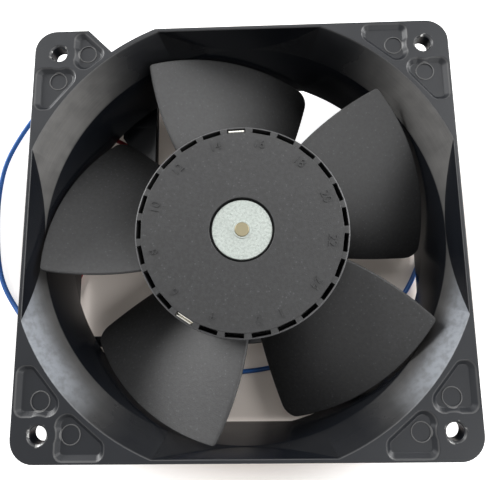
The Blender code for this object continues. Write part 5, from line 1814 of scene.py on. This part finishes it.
@dataclass
class Lead:
    """A sleeved lead from the circuit board, held by the lead clip, lying free beyond it."""

    colour: str
    finish: Finish
    route: Sequence[Place]
    free_length: float
    clip_place: float = 0.049
    spacing: float = 0.0008
    curve_steps: int = 24
    tip_length: float = 0.007
    tip_gap: float = 0.00003
    wire: float = 0.00015
    wires: int = 6
    twist: float = 0.9

    def between(self, four: Sequence[Vector]) -> list[Vector]:
        """Points of a smooth curve through four points, from the second up to the third.

        Args:
            four: Neighbouring points of the route.

        Returns:
            The points, without the third point itself.
        """
        knots = [0.0]
        for near, far in zip(four, four[1:]):
            knots.append(knots[-1] + sqrt((far - near).length))
        points = []
        for step in range(self.curve_steps):
            place = knots[1] + (knots[2] - knots[1]) * step / self.curve_steps
            row = list(four)
            # Neighbours are mixed over one stretch, then two, and at last over the middle one
            for reach, lows in ((1, (0, 1, 2)), (2, (0, 1)), (1, (1,))):
                shares = [(place - knots[low]) / (knots[low + reach] - knots[low]) for low in lows]
                row = [near.lerp(far, share) for near, far, share in zip(row, row[1:], shares)]
            points.append(row[0])
        return points

    def line(self) -> list[Vector]:
        """Evenly spaced points along the whole lead, kept inside the frame's own box.

        Returns:
            The points.
        """
        points = [Vector(point) for point in self.route]
        padded = [points[0] * 2 - points[1], *points, points[-1] * 2 - points[-2]]
        fine = [point for index in range(len(points) - 1)
                for point in self.between(padded[index:index + 4])]
        fine.append(points[-1])
        total = sum((far - near).length for near, far in zip(fine, fine[1:]))
        count = ceil(total / self.spacing)
        even = [fine[0]]
        walked = 0.0
        for near, far in zip(fine, fine[1:]):
            stretch = (far - near).length
            while len(even) < count and walked + stretch >= total * len(even) / count:
                even.append(near.lerp(far, (total * len(even) / count - walked) / stretch))
            walked += stretch
        even.append(fine[-1])
        low, high = CAD_BOX
        return [Vector([min(max(value, least + LEAD_RADIUS), most - LEAD_RADIUS)
                        for value, least, most in zip(point, low, high)]) for point in even]

    @staticmethod
    def tube(name: str, points: Sequence[Vector]) -> Item:
        """A round sleeve along points, closed at both ends.

        Args:
            name: The object's name.
            points: The sleeve's middle line.

        Returns:
            The sleeve.
        """
        curve = bpy.data.curves.new(name, 'CURVE')
        curve.dimensions = '3D'
        curve.bevel_depth = LEAD_RADIUS
        curve.bevel_resolution = 5
        curve.use_fill_caps = True
        spline = curve.splines.new('POLY')
        spline.points.add(len(points) - 1)
        for place, point in zip(spline.points, points):
            place.co = (*point, 1.0)
        spline.use_smooth = True
        return new_item(name, curve)

    def stripped_end(self, end: Vector, heading: Vector) -> Item:
        """The bare twisted wires beyond the sleeve.

        Args:
            end: Where the sleeve ends.
            heading: Which way it points there.

        Returns:
            The wires.
        """
        strands = Strands(self.wires, self.twist, self.tip_length, self.wire)
        bundle = strands.make(f"{self.colour}_strands", TIN)
        turn = Vector((0.0, 0.0, 1.0)).rotation_difference(heading).to_matrix().to_4x4()
        bundle.data.transform(Matrix.Translation(end + heading * self.tip_gap) @ turn)
        return smooth(bundle)

    def build(self) -> None:
        """Lay the lead as a held and a free stretch, and twist its bare end."""
        points = self.line()
        split = next(index for index, point in enumerate(points) if point.y > self.clip_place)
        node, slot = f"{self.colour}_lead", f"{self.colour}_sleeve"
        held = self.tube(f"{self.colour}_held_lead", points[:split + 1])
        free = self.tube(f"{self.colour}_free_lead", points[split:])
        for sleeve in (held, free):
            settle(sleeve, self.finish, Body.HOUSING, slot, node)
        tip = self.stripped_end(points[-1], (points[-1] - points[-2]).normalized())
        settle(tip, TIN, Body.HOUSING, "tin", f"{node}_tip")


# Pieces kept from the frame

@dataclass
class InnerPieces:
    """The pieces held inside, which keep the frame's own shapes."""

    finishes: dict[str, Finish]

    def dress(self) -> None:
        """Give every slot of every node its finish."""
        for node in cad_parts.values():
            for slot in node.material_slots:
                # The rotor cup gets the near-black steel
                dark_cup = node.name == "rotor_cup"
                finish = DARK_STEEL if dark_cup else self.finishes[slot.material.name]
                slot.material = material_of(finish)


# Studio

@dataclass
class Lamp:
    """A soft flat lamp aimed at the fan, level in its width."""

    name: str
    azimuth: float
    elevation: float
    strength: float
    distance: float = 0.9
    width: float = 0.5
    height: float = 0.5

    def build(self) -> None:
        """Hang the lamp."""
        light = bpy.data.lights.new(self.name, 'AREA')
        light.shape = 'RECTANGLE'
        light.size = self.width
        light.size_y = self.height
        light.energy = self.strength * self.distance ** 2
        flat = cos(self.elevation)
        place = self.distance * Vector((flat * cos(self.azimuth), flat * sin(self.azimuth),
                                        sin(self.elevation)))
        item = new_item(self.name, light)
        item.location = place
        item.rotation_euler = place.to_track_quat('Z', 'Y').to_euler()


@dataclass
class Studio:
    """A pale floor, soft lamps and the photo's camera."""

    lamps: Sequence[Lamp]
    lens: float = 31.6
    place: Place = (0.00514, -0.02177, 0.13471)
    right: Place = (0.9995, -0.0152, -0.0274)
    up: Place = (0.0193, 0.9875, 0.1562)
    back: Place = (0.0246, -0.1567, 0.9873)
    floor_size: float = 6.0
    floor_gap: float = 0.00005
    floor_albedo: Colour = (0.88, 0.88, 0.88)
    floor_shade: Colour = (0.88, 0.80, 0.74)
    floor_glow: Colour = (0.070, 0.062, 0.055)
    shadow_reach: Point = (0.066, 0.10)
    clear_place: Point = (0.0245, 0.0535)
    clear_reach: Point = (0.021, 0.018)
    ambient: Colour = (0.03, 0.03, 0.03)

    def camera(self) -> None:
        """Stand the camera where the photo was taken."""
        data = bpy.data.cameras.new("camera")
        data.lens = self.lens
        data.clip_start = 0.01
        item = new_item("camera", data)
        axes = Matrix((self.right, self.up, self.back)).transposed().to_4x4()
        item.matrix_world = Matrix.Translation(self.place) @ axes
        bpy.context.scene.camera = item

    def floor(self) -> None:
        """Lay the floor under the leads: shadowed near the fan, white to the camera far off.

        A patch behind the gap of the first two blades is white too, as it is in the photo.
        """
        level = SURFACE - LEAD_RADIUS - self.floor_gap
        builder = bmesh.new()
        corners = square(self.floor_size / 2)
        # From the lower left on: the noise in its light depends on which corner comes first.
        corners = corners[-1:] + corners[:-1]
        builder.faces.new([builder.verts.new((x, y, level)) for x, y in corners])
        floor = solid("floor", builder)
        kit = SurfaceKit("pale_floor")
        x, y, _ = kit.axes
        far = kit.radius.between(*self.shadow_reach)
        clear = (x - self.clear_place[0]).diagonal(y - self.clear_place[1])
        white = 1.0 - (1.0 - far) * (1.0 - clear.between(*self.clear_reach))
        seen = kit.add('ShaderNodeLightPath', output="Is Camera Ray")
        glow = kit.mix(seen, BLACK, kit.mix(white, self.floor_glow, WHITE))
        tone = kit.mix(white, self.floor_shade, self.floor_albedo)
        floor.data.materials.append(kit.dress(Base_Color=tone, Roughness=0.9, Emission_Color=glow,
                                              Emission_Strength=1.0))

    def world(self) -> None:
        """A grey sky that looks white to the camera and in reflections."""
        world = bpy.data.worlds.new("studio")
        world.use_nodes = True
        bpy.context.scene.world = world
        kit = NodeKit(world.node_tree)
        path = kit.add('ShaderNodeLightPath', output="Is Camera Ray")
        seen = path.math('MAXIMUM', path.beside("Is Glossy Ray"))
        seen = seen.math('MAXIMUM', path.beside("Is Transmission Ray"))
        kit.plug(kit.tree.nodes["Background"].inputs["Color"], kit.mix(seen, self.ambient, WHITE))

    def build(self) -> None:
        """Set up the whole studio."""
        self.camera()
        self.floor()
        self.world()
        for lamp in self.lamps:
            lamp.build()
        bpy.context.scene.view_settings.view_transform = 'Standard'


def main() -> None:
    """Build the fan's looks and its studio."""
    logging.basicConfig(level=logging.INFO, format="%(name)s: %(message)s")
    InnerPieces({finish.name: finish for finish in SLOT_FINISHES}).dress()
    ring = BalanceRing()
    for piece in (CastFrame(), Impeller(ring), PocketNumbers(ring), BalanceClip(ring, 15, Fold.UP),
                  BalanceClip(ring, 5, Fold.DOWN), Boss(), Shaft(),
                  Lead("blue", BLUE_SLEEVE, BLUE_ROUTE, 0.310),
                  Lead("red", RED_SLEEVE, RED_ROUTE, 0.307)):
        piece.build()
    Studio([Lamp("left", radians(150), radians(16), 12.0, height=0.4),
            Lamp("right", radians(20), radians(13), 7.0, height=0.3),
            Lamp("high_right", radians(25), radians(42), 4.2),
            Lamp("low_right", radians(315), radians(42), 3.0),
            Lamp("behind", radians(95), radians(52), 2.5)]).build()


if __name__ == "__main__":
    main()
